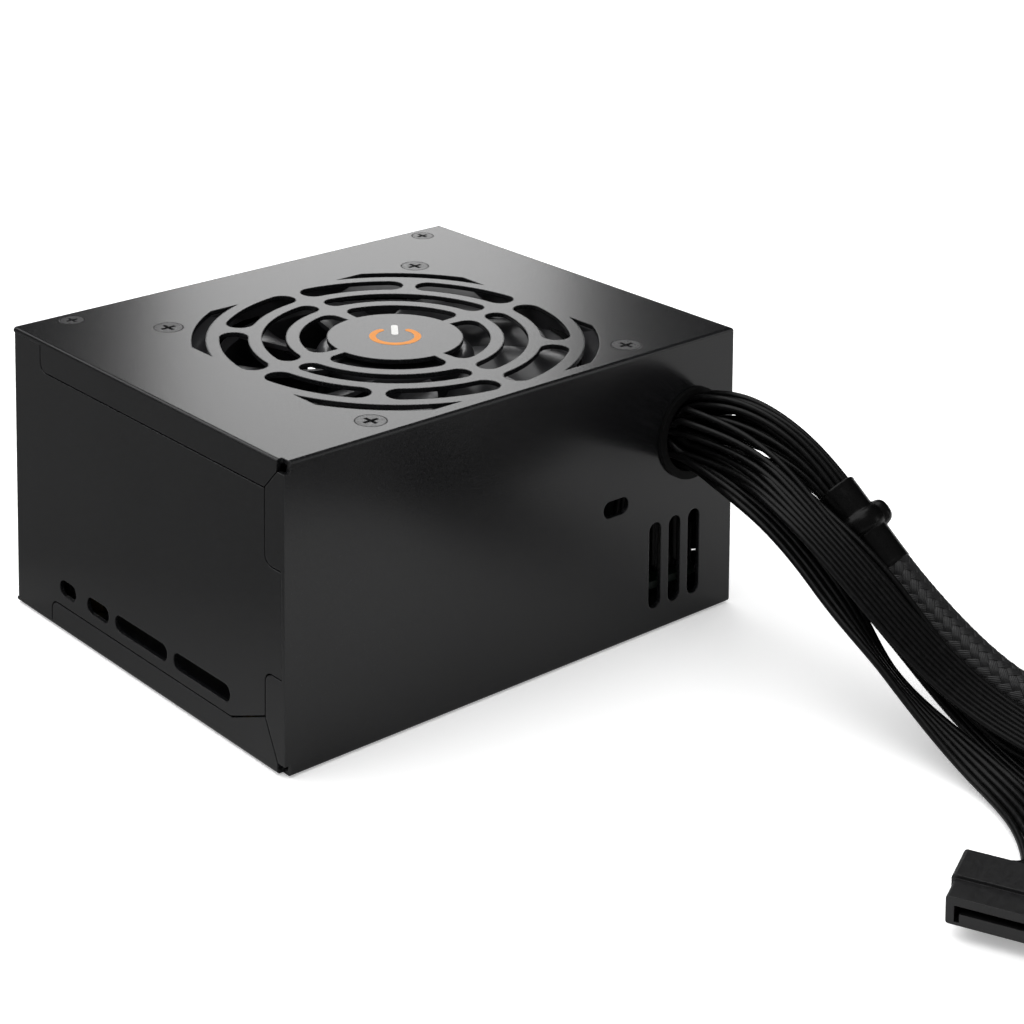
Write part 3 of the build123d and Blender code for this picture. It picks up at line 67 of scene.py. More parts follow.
class Shader:
    """A node material under construction: n() adds a node, and link() joins two sockets."""

    def __init__(self, name):
        self.material = bpy.data.materials.new(name)
        self.material.use_nodes = True
        self.tree = self.material.node_tree
        self.bsdf = self.tree.nodes["Principled BSDF"]
        self.place = self.n("ShaderNodeTexCoord").outputs["Object"]

    def n(self, kind, **settings):
        """A new node; each setting is one of its properties or the name of an input."""
        node = self.tree.nodes.new(kind)
        for key, value in settings.items():
            if hasattr(node, key):
                setattr(node, key, value)
            else:
                node.inputs[key.replace("_", " ")].default_value = value
        return node

    def link(self, source, target):
        self.tree.links.new(source, target)

    def noise(self, scale, detail=3.0, stretch=None):
        """Noise over the object's own space, mostly between NOISE_LOW and NOISE_HIGH."""
        node = self.n("ShaderNodeTexNoise", Scale=scale, Detail=detail)
        place = self.place
        if stretch:
            mapping = self.n("ShaderNodeMapping")
            mapping.inputs["Scale"].default_value = stretch
            self.link(place, mapping.inputs["Vector"])
            place = mapping.outputs["Vector"]
        self.link(place, node.inputs["Vector"])
        return node.outputs["Fac"]

    def bands(self, scale, direction):
        """Even waves along one axis."""
        node = self.n("ShaderNodeTexWave", wave_type="BANDS", bands_direction=direction,
                      Scale=scale)
        self.link(self.place, node.inputs["Vector"])
        return node.outputs["Fac"]

    def remap(self, value, low, high, start=0.0, end=1.0):
        """low at start and high at end, straight between and level beyond."""
        node = self.n("ShaderNodeMapRange")
        self.link(value, node.inputs["Value"])
        for key, number in (("From Min", start), ("From Max", end), ("To Min", low),
                            ("To Max", high)):
            node.inputs[key].default_value = number
        return node.outputs["Result"]

    def spread(self, noise, low, high):
        """Stretches the usual range of a noise over low to high."""
        return self.remap(noise, low, high, NOISE_LOW, NOISE_HIGH)

    def mix(self, factor, one, two):
        """One colour where the factor is 0, the other where it is 1."""
        node = self.n("ShaderNodeMix", data_type="RGBA")
        self.link(factor, node.inputs["Factor"])
        for socket, colour in ((node.inputs["A"], one), (node.inputs["B"], two)):
            if isinstance(colour, tuple):
                socket.default_value = (*colour, 1.0)
            else:
                self.link(colour, socket)
        return node.outputs["Result"]

    def math(self, operation, one, two=0.0):
        """A sum of two sockets or numbers."""
        node = self.n("ShaderNodeMath", operation=operation)
        for socket, value in zip(node.inputs, (one, two)):
            if isinstance(value, (int, float)):
                socket.default_value = value
            else:
                self.link(value, socket)
        return node.outputs["Value"]

    def axis(self, which):
        """One coordinate of the object's own space."""
        node = self.n("ShaderNodeSeparateXYZ")
        self.link(self.place, node.inputs["Vector"])
        return node.outputs[which]

    def edge(self, radius):
        """1 close to an edge and 0 on flat ground, and the rounded normal there."""
        bevel = self.n("ShaderNodeBevel", samples=4)
        bevel.inputs["Radius"].default_value = radius
        geometry = self.n("ShaderNodeNewGeometry")
        dot = self.n("ShaderNodeVectorMath", operation="DOT_PRODUCT")
        self.link(bevel.outputs["Normal"], dot.inputs[0])
        self.link(geometry.outputs["Normal"], dot.inputs[1])
        turned, flat = 0.8, 0.995
        return self.remap(dot.outputs["Value"], 1.0, 0.0, turned, flat), bevel.outputs["Normal"]

    def bump(self, height, depth, normal=None, strength=1.0):
        """The normal of a relief of the depth, in metres."""
        node = self.n("ShaderNodeBump")
        node.inputs["Strength"].default_value = strength
        node.inputs["Distance"].default_value = depth
        self.link(height, node.inputs["Height"])
        if normal is not None:
            self.link(normal, node.inputs["Normal"])
        return node.outputs["Normal"]


def darker(colour, factor):
    """The colour times the factor, which may also be over 1."""
    return tuple(min(1.0, c * factor) for c in colour)


def surface(name, colour, roughness, grain=1500.0, depth=8e-6, mottle=0.12, edge=0.25 * MM,
            wear=1.4, metallic=0.0, specular=0.5, coat=0.0, stretch=None):
    """A moulded, painted or metal surface: mottled colour, uneven gloss, grain and eased edges."""
    s = Shader(name)
    fine = s.noise(grain, 4.0, stretch)
    mottle_size = 25
    broad = s.noise(grain / mottle_size, 3.0)
    tone = s.mix(s.spread(broad, 0.0, 1.0), darker(colour, 1 - mottle), darker(colour, 1 + mottle))
    normal = None
    if edge:
        near, normal = s.edge(edge)
        worn = s.math("MULTIPLY", near, s.remap(fine, 0.2, 0.9, 0.35, 0.65))
        tone = s.mix(worn, tone, darker(colour, wear))
    s.link(tone, s.bsdf.inputs["Base Color"])
    s.link(s.spread(fine, roughness - 0.05, roughness + 0.07), s.bsdf.inputs["Roughness"])
    s.link(s.bump(fine, depth, normal), s.bsdf.inputs["Normal"])
    s.bsdf.inputs["Metallic"].default_value = metallic
    s.bsdf.inputs["Specular IOR Level"].default_value = specular
    s.bsdf.inputs["Coat Weight"].default_value = coat
    s.bsdf.inputs["Coat Roughness"].default_value = 0.15
    return s


def powder_coat():
    """Satin black powder coat: a fine sand of rounded grains under a slight orange peel."""
    s = Shader("powder_coat")
    sand = s.n("ShaderNodeTexVoronoi", Scale=2300.0, feature="SMOOTH_F1")
    sand.inputs["Smoothness"].default_value = 0.6
    s.link(s.place, sand.inputs["Vector"])
    peel = s.noise(420.0, 2.0)
    speck = s.noise(3400.0, 2.0)
    broad = s.noise(35.0, 2.0)
    near, normal = s.edge(0.35 * MM)
    deep, light = (0.0065, 0.0067, 0.0072), (0.0085, 0.0087, 0.0093)
    tone = s.mix(s.spread(broad, 0.0, 1.0), deep, light)
    tone = s.mix(s.remap(speck, 0.0, 0.6, 0.56, 0.75), tone, (0.035, 0.036, 0.039))
    tone = s.mix(s.math("MULTIPLY", near, 0.5), tone, (0.03, 0.03, 0.032))
    s.link(tone, s.bsdf.inputs["Base Color"])
    s.link(s.spread(speck, 0.15, 0.26), s.bsdf.inputs["Roughness"])
    s.bsdf.inputs["Specular IOR Level"].default_value = 0.5
    peeled = s.bump(peel, 3.5e-6, normal)
    s.link(s.bump(sand.outputs["Distance"], 7e-6, peeled, 0.5), s.bsdf.inputs["Normal"])
    return s.material


def board():
    """Solder mask over copper tracks."""
    s = surface("board_green", (0.006, 0.022, 0.011), 0.38, grain=900.0, depth=5e-6, coat=0.2)
    tracks = s.n("ShaderNodeTexBrick", Scale=160.0)
    tracks.inputs["Mortar Size"].default_value = 0.04
    tracks.inputs["Color1"].default_value = (0.008, 0.032, 0.015, 1)
    tracks.inputs["Color2"].default_value = (0.006, 0.024, 0.011, 1)
    tracks.inputs["Mortar"].default_value = (0.003, 0.012, 0.006, 1)
    s.link(s.place, tracks.inputs["Vector"])
    s.link(tracks.outputs["Color"], s.bsdf.inputs["Base Color"])
    return s.material


def wound(name, colour, scale, direction, roughness=0.3):
    """Enamelled wire or tape wound in close turns."""
    s = surface(name, colour, roughness, grain=1200.0, edge=0, coat=0.3)
    turns = s.bands(scale, direction)
    # Painted shade and highlight: the colour is darker in the grooves between the turns and lighter
    # on the turns' crowns.
    s.link(s.mix(turns, darker(colour, 0.45), darker(colour, 1.15)), s.bsdf.inputs["Base Color"])
    s.link(s.bump(turns, 1.2e-4), s.bsdf.inputs["Normal"])
    return s.material


def capacitor():
    """A shrunk dark sleeve with a pale stripe and a bare aluminium top."""
    s = surface("capacitor_sleeve", (0.012, 0.014, 0.03), 0.25, grain=500.0, depth=4e-6, coat=0.4)
    geometry = s.n("ShaderNodeNewGeometry")
    up = s.n("ShaderNodeSeparateXYZ")
    s.link(geometry.outputs["Normal"], up.inputs["Vector"])
    top = s.math("GREATER_THAN", up.outputs["Z"], 0.9)
    stripe = s.math("GREATER_THAN", up.outputs["X"], 0.93)
    sleeve = s.mix(stripe, (0.012, 0.014, 0.03), (0.35, 0.36, 0.38))
    s.link(s.mix(top, sleeve, (0.6, 0.6, 0.62)), s.bsdf.inputs["Base Color"])
    s.link(top, s.bsdf.inputs["Metallic"])
    return s.material


def fuse_material():
    """A clear tube between two plated caps."""
    low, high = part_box("fuse")
    middle, half = (low.x + high.x) / 2, (high.x - low.x) / 2
    s = surface("fuse_glass", (0.7, 0.7, 0.68), 0.2, grain=600.0)
    off = s.math("ABSOLUTE", s.math("SUBTRACT", s.axis("X"), middle))
    cap = s.math("GREATER_THAN", off, half * 0.45)
    s.link(cap, s.bsdf.inputs["Metallic"])
    s.link(s.remap(cap, 0.8, 0.0), s.bsdf.inputs["Transmission Weight"])
    return s.material


def laminated(name, colour):
    """A stack of thin steel sheets."""
    s = surface(name, colour, 0.4, grain=900.0, metallic=0.9, edge=0)
    sheets = s.bands(700.0, "Z")
    s.link(s.mix(sheets, darker(colour, 0.4), colour), s.bsdf.inputs["Base Color"])
    s.link(s.bump(sheets, 5e-5), s.bsdf.inputs["Normal"])
    return s.material


def wire_insulation(name, tone, roughness):
    """Black PVC: satin, with the drawn lines and faint dust of a soft sleeve."""
    s = Shader(name)
    along = s.n("ShaderNodeAttribute", attribute_name="UVMap")
    stretch = s.n("ShaderNodeMapping")
    stretch.inputs["Scale"].default_value = (9.0, 1.2, 1.0)
    s.link(along.outputs["Vector"], stretch.inputs["Vector"])
    drawn = s.n("ShaderNodeTexNoise", Scale=3.0, Detail=4.0)
    s.link(stretch.outputs["Vector"], drawn.inputs["Vector"])
    dust = s.noise(900.0, 4.0)
    colour = (tone, tone, tone * 1.04)
    shade = s.mix(s.spread(drawn.outputs["Fac"], 0.0, 1.0), darker(colour, 0.7),
                  darker(colour, 1.35))
    dusty = s.mix(s.remap(dust, 0.0, 0.4, 0.6, 0.8), shade, (0.018, 0.018, 0.018))
    s.link(dusty, s.bsdf.inputs["Base Color"])
    s.link(s.spread(dust, roughness - 0.06, roughness + 0.1), s.bsdf.inputs["Roughness"])
    fine = s.bump(dust, 6e-6)
    s.link(s.bump(drawn.outputs["Fac"], 1.5e-5, fine), s.bsdf.inputs["Normal"])
    s.bsdf.inputs["Specular IOR Level"].default_value = 0.21
    return s.material


strand_ribs = 5


def filament():
    """Glossy monofilament of the braid: fine ribs run along each strand."""
    s = Shader("braid_filament")
    across = s.n("ShaderNodeAttribute", attribute_name="UVMap")
    parts = s.n("ShaderNodeSeparateXYZ")
    s.link(across.outputs["Vector"], parts.inputs["Vector"])
    turns = s.math("MULTIPLY", parts.outputs["X"], strand_ribs * math.pi)
    ribs = s.math("ABSOLUTE", s.math("SINE", turns))
    haze = s.noise(1200.0, 3.0)
    # Painted shade and highlight: each strand's colour is darkest in the valleys between its ribs
    # and lightest on their crests.
    s.link(s.mix(ribs, (0.003, 0.003, 0.003), (0.014, 0.014, 0.015)), s.bsdf.inputs["Base Color"])
    s.link(s.spread(haze, 0.4, 0.52), s.bsdf.inputs["Roughness"])
    s.link(s.bump(ribs, 5e-5), s.bsdf.inputs["Normal"])
    return s.material


black = (0.010, 0.010, 0.0105)
finishes = {
    "black_powder_coat": powder_coat(),
    "black_screw_steel": surface("black_screw_steel", (0.02, 0.02, 0.021), 0.3, 1600.0, 1e-5,
                                 0.2, 0.2 * MM, 3.0, specular=0.6).material,
    "zinc_steel": surface("zinc_steel", (0.55, 0.55, 0.52), 0.3, 1400.0, 8e-6,
                          metallic=1.0).material,
    "fan_plastic": surface("fan_plastic", (0.022, 0.022, 0.024), 0.33, 700.0, 6e-6, 0.1,
                           0.3 * MM, 1.5, coat=0.15).material,
    "bearing_bronze": surface("bearing_bronze", (0.45, 0.28, 0.13), 0.4, 1800.0, 1e-5,
                              metallic=1.0).material,
    "nylon_white": surface("nylon_white", (0.7, 0.68, 0.6), 0.45, 900.0).material,
    "ferrite_magnet": surface("ferrite_magnet", (0.02, 0.02, 0.02), 0.7, 2000.0, 2e-5).material,
    "lamination_steel": laminated("lamination_steel", (0.4, 0.4, 0.42)),
    "copper_wire": wound("copper_wire", (0.42, 0.14, 0.05), 500.0, "Z"),
    "board_green": board(),
    "inlet_plastic": surface("inlet_plastic", black, 0.42, 1300.0, 1.2e-5, edge=0.4 * MM,
                             wear=2.2).material,
    "rocker_plastic": surface("rocker_plastic", (0.008, 0.008, 0.0085), 0.28, 900.0, 5e-6,
                              edge=0.4 * MM, wear=2.2, coat=0.2).material,
    "plated_brass": surface("plated_brass", (0.62, 0.6, 0.52), 0.22, 1200.0, 5e-6,
                            metallic=1.0).material,
    "wire_insulation": wire_insulation("wire_insulation", 0.003, 0.35),
    "brass_standoff": surface("brass_standoff", (0.6, 0.42, 0.16), 0.3, 1500.0,
                              metallic=1.0).material,
    "insulating_film": surface("insulating_film", (0.03, 0.03, 0.032), 0.35, 400.0,
                               edge=0).material,
    "ferrite_core": surface("ferrite_core", (0.035, 0.035, 0.038), 0.5, 1500.0, 1.5e-5,
                            wear=1.8).material,
    "iron_powder_core": surface("iron_powder_core", (0.3, 0.3, 0.05), 0.45, 1500.0, 2e-5).material,
    "bobbin_tape": wound("bobbin_tape", (0.5, 0.36, 0.04), 180.0, "Z", 0.25),
    "capacitor_sleeve": capacitor(),
    "capacitor_box": surface("capacitor_box", (0.45, 0.3, 0.03), 0.3, 700.0).material,
    "fuse_glass": fuse_material(),
    "heatsink_aluminium": surface("heatsink_aluminium", (0.025, 0.025, 0.028), 0.38, 900.0,
                                  1e-5, wear=4.0, metallic=0.3,
                                  stretch=(1.0, 1.0, 12.0)).material,
    "package_epoxy": surface("package_epoxy", (0.016, 0.016, 0.017), 0.5, 1600.0, 1e-5).material,
    "grommet_rubber": surface("grommet_rubber", (0.003, 0.003, 0.003), 0.8, 1400.0, 1.5e-5,
                              specular=0.2).material,
    "heat_shrink_plastic": surface("heat_shrink_plastic", (0.002, 0.002, 0.002), 0.3, 650.0, 1.2e-5,
                                   0.2, 0, specular=0.2).material,
    "braid_plastic": filament(),
    "connector_nylon": surface("connector_nylon", (0.011, 0.011, 0.0115), 0.38, 1100.0, 9e-6,
                               edge=0.25 * MM, wear=2.4).material,
}

slot_of = {part["node"]: part["material_slot"] for part in frame["record"]["subparts"]}
for name, node in nodes.items():
    node.data.materials.clear()
    node.data.materials.append(finishes[slot_of[name]])


# --- Mesh helpers ---------------------------------------------------------------------------------


def mesh_object(name, points, faces, slot_name, body, uvs=None, smooth=True):
    """A mesh object of the record's slot that rides a CAD body."""
    mesh = bpy.data.meshes.new(name)
    mesh.from_pydata([tuple(p) for p in points], [], faces)
    if uvs is not None:
        layer = mesh.uv_layers.new(name="UVMap")
        corners = np.empty(len(mesh.loops), dtype=np.int32)
        mesh.loops.foreach_get("vertex_index", corners)
        layer.data.foreach_set("uv", np.asarray(uvs, dtype=np.float32)[corners].ravel())
    mesh.polygons.foreach_set("use_smooth", [smooth] * len(mesh.polygons))
    mesh.update()
    obj = bpy.data.objects.new(name, mesh)
    bpy.context.scene.collection.objects.link(obj)
    mesh.materials.append(finishes[slot_name])
    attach(obj, body)
    return obj


def grid_faces(rows, columns, start=0, closed=True):
    """Quads of a grid of points laid out row by row, closed round each row."""
    faces = []
    for r in range(rows - 1):
        for c in range(columns if closed else columns - 1):
            here, beside = start + r * columns + c, start + r * columns + (c + 1) % columns
            faces.append((here, beside, beside + columns, here + columns))
    return faces


def unit(vectors):
    """The vectors, each 1 long."""
    return vectors / np.linalg.norm(vectors, axis=-1, keepdims=True)


def smooth_path(points, leaving, arriving, count):
    """Points and directions at even steps along the cubic spline through the given points."""
    finer = 12
    p = np.array(points, float)
    h = np.linalg.norm(np.diff(p, axis=0), axis=1)
    knots = np.concatenate(([0.0], np.cumsum(h)))
    n = len(p)
    a, b = np.zeros((n, n)), np.zeros((n, 3))
    a[0, 0] = a[-1, -1] = 1.0
    b[0], b[-1] = unit(np.array(leaving, float)), unit(np.array(arriving, float))
    for i in range(1, n - 1):
        a[i, i - 1], a[i, i], a[i, i + 1] = h[i], 2 * (h[i - 1] + h[i]), h[i - 1]
        b[i] = 3 * (h[i] * (p[i] - p[i - 1]) / h[i - 1] + h[i - 1] * (p[i + 1] - p[i]) / h[i])
    slope = np.linalg.solve(a, b)
    at = np.linspace(0, knots[-1], finer * count)
    i = np.clip(np.searchsorted(knots, at, side="right") - 1, 0, n - 2)
    x, span = ((at - knots[i]) / h[i])[:, None], h[i][:, None]
    line = ((2 * x**3 - 3 * x**2 + 1) * p[i] + (x**3 - 2 * x**2 + x) * span * slope[i]
            + (3 * x**2 - 2 * x**3) * p[i + 1] + (x**3 - x**2) * span * slope[i + 1])
    length = np.concatenate(([0.0], np.cumsum(np.linalg.norm(np.diff(line, axis=0), axis=1))))
    even = np.linspace(0, length[-1], count)
    line = np.stack([np.interp(even, length, line[:, k]) for k in range(3)], axis=1)
    return line, unit(np.gradient(line, axis=0))


def rise(y, start, end):
    """0 before start and 1 after end, smooth between: every cable runs towards -Y."""
    share = np.clip((start - y) / (start - end), 0, 1)
    return share * share * (3 - 2 * share)


def level_frames(line, along, roll):
    """Width and thickness directions of a ribbon: a roll, in degrees, lowers its right edge."""
    side = unit(np.array([1.0, 0, 0]) - along * along[:, :1])
    turn = np.radians(roll)[:, None]
    width = side * np.cos(turn) + np.cross(side, along) * np.sin(turn)
    return width, np.cross(along, width)


def carried_frames(along):
    """Two directions square to the path that don't spin about it."""
    first = [unit(np.array([1.0, 0, 0]) - along[0] * along[0][0])]
    for direction in along[1:]:
        first.append(unit(first[-1] - direction * np.dot(first[-1], direction)))
    first = np.array(first)
    return first, np.cross(along, first)


def tube(line, radius, sides=10):
    """Points, faces and UVs of a round tube along a line, with flat cut ends."""
    uv_length = 10.0
    along = unit(np.gradient(line, axis=0))
    one, two = carried_frames(along)
    turn = np.linspace(0, 2 * np.pi, sides, endpoint=False)
    ring = one[:, None] * np.cos(turn)[None, :, None] + two[:, None] * np.sin(turn)[None, :, None]
    points = (line[:, None] + ring * radius).reshape(-1, 3)
    last = (len(line) - 1) * sides
    faces = grid_faces(len(line), sides)
    faces += [tuple(range(sides))[::-1], tuple(last + k for k in range(sides))]
    step = np.concatenate(([0.0], np.cumsum(np.linalg.norm(np.diff(line, axis=0), axis=1))))
    uvs = np.stack([np.tile(turn / (2 * np.pi), len(line)), np.repeat(step / uv_length, sides)],
                   axis=1)
    return points, faces, uvs


def wires_object(name, lines, radius, replaced):
    """One piece made of separate wires, each on its own stretch of the texture."""
    uv_apart = 7.3
    points, faces, uvs, count = [], [], [], 0
    for index, line in enumerate(lines):
        p, f, uv = tube(line, radius)
        points.append(p)
        faces += [tuple(v + count for v in face) for face in f]
        uvs.append(uv + (0.0, uv_apart * index))
        count += len(p)
    obj = mesh_object(name, np.concatenate(points) * MM, faces, "wire_insulation", "case",
                      np.concatenate(uvs))
    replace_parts(obj, replaced)
    return obj


# --- Output cables, in millimetres ----------------------------------------------------------------

board_top = 8.6
cable_face = -50.0
rest_z = 5.2
upwards = (0, 0, 1)
main_path = [(52.4, -34, board_top), (52.4, -34, 26), (52.4, -36, 37.5), (52.4, -41, 43.6),
             (52.4, -50, 45.6), (53.2, -62, 47.8), (54.9, -75, 45.5), (56.5, -88, 36.5),
             (58.3, -100, 25.3), (60, -112, 16.4), (62.4, -125, 9.4), (67, -137, 5.8),
             (74.5, -147, rest_z), (86, -154, rest_z), (112, -158, rest_z)]
processor_path = [(50.3, -39.6, board_top), (50.3, -39.6, 26), (49, -41.2, 36.6),
                  (46.5, -44.6, 41.6), (44.8, -50, 43.3), (45.4, -62, 43.4), (44.3, -75, 42.4),
                  (42.7, -88, 38.2), (43.2, -100, 31.3), (44.9, -112, 22.4), (48.1, -125, 13.6),
                  (51.9, -139, 8), (57, -152, 5), (64.8, -163, 4.5), (77, -174, rest_z)]
graphics_path = [(49.5, -42, board_top), (49.5, -42, 25), (49.5, -43.2, 33.6), (49.5, -46, 37),
                 (49.5, -50, 38.2), (48.7, -61, 39.5), (47.6, -75, 39.7), (47.2, -88, 35.3),
                 (47.8, -96, 31.2), (48.8, -104, 25.8), (49.5, -111, 20.2), (50.6, -122, 12),
                 (52.4, -137, 4.8), (55.2, -149, 3), (57, -160, 1.4), (58, -171, 2.2),
                 (58, -187, rest_z)]
drive_path = [(44.1, -35.9, board_top), (44.1, -35.9, 24), (44.6, -38, 31), (45.2, -43, 36),
              (45, -50, 37.6), (43.6, -60, 38.4), (42.6, -70, 37.8), (42.1, -79, 35.6),
              (41.9, -88, 31.4), (41, -101, 23.2), (40.9, -114, 13.2), (41.4, -127, 6.2),
              (40.6, -137, 2.8), (36, -148.5, 1.9), (27, -159, 2.6), (13, -167, rest_z)]
peripheral_path = [(49.5, -44.4, board_top), (49.5, -44.4, 25), (49.5, -45, 31.6),
                   (49.5, -46.7, 35), (49.5, -50, 36), (48.6, -60, 36.6), (47, -74, 36.5),
                   (46.6, -87, 31.7), (47.2, -98, 25.2), (48.6, -110, 16.6), (49.6, -124, 7),
                   (48.8, -137, 2.2), (45.6, -149, 1.2), (41, -163, 1.4), (37, -184, rest_z)]
main_heading, processor_heading, graphics_heading = (1, 0, 0), (1, -1, 0), (0, -1, 0)
drive_heading, peripheral_heading = (-0.9, -0.4, 0), (-0.1, -1, 0)
ribbon_stations, main_stations = 230, 700
ribbon_splay, main_splay = 14.0, 20.0
power_pitch, drive_pitch, peripheral_pitch = 4.2, 4.0, 5.08


def cell_grid(columns, rows, spacing, heading):
    """Places of a connector's cells about the cable's end, as vectors."""
    ahead = unit(np.array([heading[0], heading[1], 0.0]))
    side = np.array([-ahead[1], ahead[0], 0.0])
    up = np.array([0, 0, 1.0])
    return [side * (c - (columns - 1) / 2) * spacing + up * (r - (rows - 1) / 2) * spacing
            for c in range(columns) for r in range(rows)]


def into_cells(line, wires, cells, splay):
    """Bends the last stretch, splay long, of each wire into its own cell, in the order they lie."""
    left = np.concatenate(([0.0], np.cumsum(np.linalg.norm(np.diff(line, axis=0), axis=1))))
    left = left[-1] - left
    share = np.clip(1 - left / splay, 0, 1)
    share = (share * share * (3 - 2 * share))[:, None]
    side = cells[-1] - cells[0]
    order = sorted(range(len(wires)), key=lambda i: float(np.dot(wires[i][-1] - line[-1], side)))
    ranked = sorted(cells, key=lambda cell: float(np.dot(cell, side)))
    bent = []
    for cell, i in zip(ranked, order):
        target = line + cell
        bent.append(wires[i] * (1 - share) + target * share)
    return bent


def ribbon_wires(points, heading, spacing, roll, merge, places, cells):
    """The wires of a ribbon: each leaves the exit at its own place and joins it by y = merge."""
    count = len(places)
    line, along = smooth_path(points, upwards, heading, ribbon_stations)
    y = line[:, 1]
    width, _ = level_frames(line, along, roll(y))
    wires = []
    for k in range(count):
        wire = line + width * ((k - (count - 1) / 2) * spacing)
        wires.append(through_exit(wire, places[k], merge))
    return into_cells(line, wires, cells, ribbon_splay)


def flat_roll(y):
    """No roll: the ribbon lies level."""
    return np.zeros_like(y)


def processor_roll(y):
    """Rolls away from the bundle past the exit, then lies level."""
    return -30 * rise(y, -50, -54) * (1 - rise(y, -64, -94))


def graphics_roll(y):
    """Rolls a little where it runs under the bundle."""
    return -22 * rise(y, -62, -96) * (1 - rise(y, -100, -130))


def drive_roll(y):
    """Tips back past the exit, then turns its edge to the ribbon above."""
    return -12 * rise(y, -55, -66) + 40 * rise(y, -96, -113) * (1 - rise(y, -112, -138))


exit_centre = np.array([49.5, 42.5])
exit_reach = 7.5


def at_exit(line):
    """The index of the point of a cable that passes the exit."""
    below_exit = 30
    return int(np.argmin(np.abs(line[:, 1] - cable_face) + 100 * (line[:, 2] < below_exit)))


def through_exit(wire, place, merge):
    """Shifts a wire to pass the exit at the place, and lets it back to its line by y = merge."""
    y = wire[:, 1]
    shift = np.asarray(place) - wire[at_exit(wire), [0, 2]]
    share = (rise(y, -37, -47) * (1 - rise(y, -50.5, merge)))[:, None]
    wire = wire.copy()
    wire[:, [0, 2]] += share * shift
    return wire


def pick(score, count):
    """Takes the exit places with the lowest score off the list."""
    chosen = sorted(exit_places, key=score)[:count]
    for place in chosen:
        exit_places.remove(place)
    return chosen


wire_total = 47
golden_angle = 2.39996
exit_places = []
for i in range(wire_total):
    reach = exit_reach * math.sqrt((i + 0.5) / wire_total)
    exit_places.append((exit_centre[0] + reach * math.cos(golden_angle * i),
                        exit_centre[1] + reach * math.sin(golden_angle * i)))
drive_places = pick(lambda p: p[1] + 0.75 * p[0], 5)
processor_places = sorted(pick(lambda p: p[0] - 0.12 * p[1], 8), key=lambda p: p[1])
graphics_places = sorted(pick(lambda p: 1.2 * p[1] + p[0], 6), key=lambda p: p[0])
peripheral_places = sorted(pick(lambda p: p[1], 4), key=lambda p: p[0])
main_places = list(exit_places)

ribbons = {
    "processor_cable": (processor_path, processor_heading, 1.42, processor_roll, -90,
                        processor_places, (4, 2, power_pitch), 0.715),
    "graphics_cable": (graphics_path, graphics_heading, 1.42, graphics_roll, -80,
                       graphics_places, (3, 2, power_pitch), 0.715),
    "peripheral_cable": (peripheral_path, peripheral_heading, 1.55, flat_roll, -76,
                         peripheral_places, (4, 1, peripheral_pitch), 0.76),
    "drive_cable": (drive_path, drive_heading, 1.62, drive_roll, -76,
                    drive_places, (5, 1, drive_pitch), 0.8),
}
for cable, (path, heading, spacing, roll, merge, places, cells, wire_radius) in ribbons.items():
    wires = ribbon_wires(path, heading, spacing, roll, merge, places, cell_grid(*cells, heading))
    wires_object(cable + "_wires", wires, wire_radius, cable)


# --- Main cable: wires, heat-shrink over a tie, braid ---------------------------------------------

main_line, main_along = smooth_path(main_path, upwards, main_heading, main_stations)
main_one, main_two = carried_frames(main_along)


def paired(first, second):
    """For each place of the first list, its partner's index in the second, with little crossing."""
    partner = list(range(len(first)))
    cost = [[(a[0] - b[0]) ** 2 + (a[1] - b[1]) ** 2 for b in second] for a in first]
    better = True
    while better:
        better = False
        for i in range(len(first)):
            for j in range(i):
                now = cost[i][partner[i]] + cost[j][partner[j]]
                if cost[i][partner[j]] + cost[j][partner[i]] < now - 1e-9:
                    partner[i], partner[j] = partner[j], partner[i]
                    better = True
    return partner


def main_wires():
    """Twenty-four wires in two rings and a core, which spread before the heat-shrink."""
    line, one, two = main_line[::3], main_one[::3], main_two[::3]
    y = line[:, 1]
    twist = 0.9 * rise(y, -50, -150)
    wires = []
    outer_ring = 3.15
    for radius, count, start in ((outer_ring, 14, 0.0), (1.76, 8, 0.2), (0.55, 2, 0.9)):
        for k in range(count):
            angle = start + 2 * np.pi * k / count + twist
            wires.append(line + one * (radius * np.cos(angle))[:, None]
                         + two * (radius * np.sin(angle))[:, None])
    at = at_exit(line)
    bundle = np.array([wire[at, [0, 2]] for wire in wires])
    bundle = bundle - bundle.mean(0)
    places = np.array(main_places)
    spread = 1.6
    partner = paired(bundle * spread, places - places.mean(0))
    wires = [through_exit(wire, places[partner[k]], -83) for k, wire in enumerate(wires)]
    sag = rise(y, -51, -66) * (1 - rise(y, -69, -87))
    lift = 1.7 * rise(y, -48, -55) * (1 - rise(y, -58, -82))
    for k, wire in enumerate(wires):
        low = max(0.0, -float(np.dot(bundle[k], (0.68, 0.73))) / outer_ring)
        wire += (3.4 * low * sag)[:, None] * np.array([-0.656, 0.34, -0.67])
        wire[:, 2] += lift * (1 - low)
    return into_cells(line, wires, cell_grid(12, 2, power_pitch, main_heading), main_splay)


wires_object("main_cable_wires", main_wires(), 0.7, "main_cable")


def path_index(y):
    """The index of the main cable's point at a value of y."""
    return int(np.argmin(np.abs(main_line[:, 1] - y)))


def sleeve_rings(start_y, end_y, radius, sides, ripple=0.0):
    """Rings of points round the main cable between two values of y; wires within ripple them."""
    outer_wires = 14
    a, b = path_index(start_y), path_index(end_y)
    turn = np.linspace(0, 2 * np.pi, sides, endpoint=False)
    step = slice(a, b + 1)
    share = np.linspace(0, 1, b + 1 - a)
    reach = radius(share)[:, None] * (1 + ripple * np.cos(outer_wires * turn))[None, :]
    ring = (main_one[step][:, None] * np.cos(turn)[None, :, None]
            + main_two[step][:, None] * np.sin(turn)[None, :, None])
    return main_line[step][:, None] + ring * reach[:, :, None]


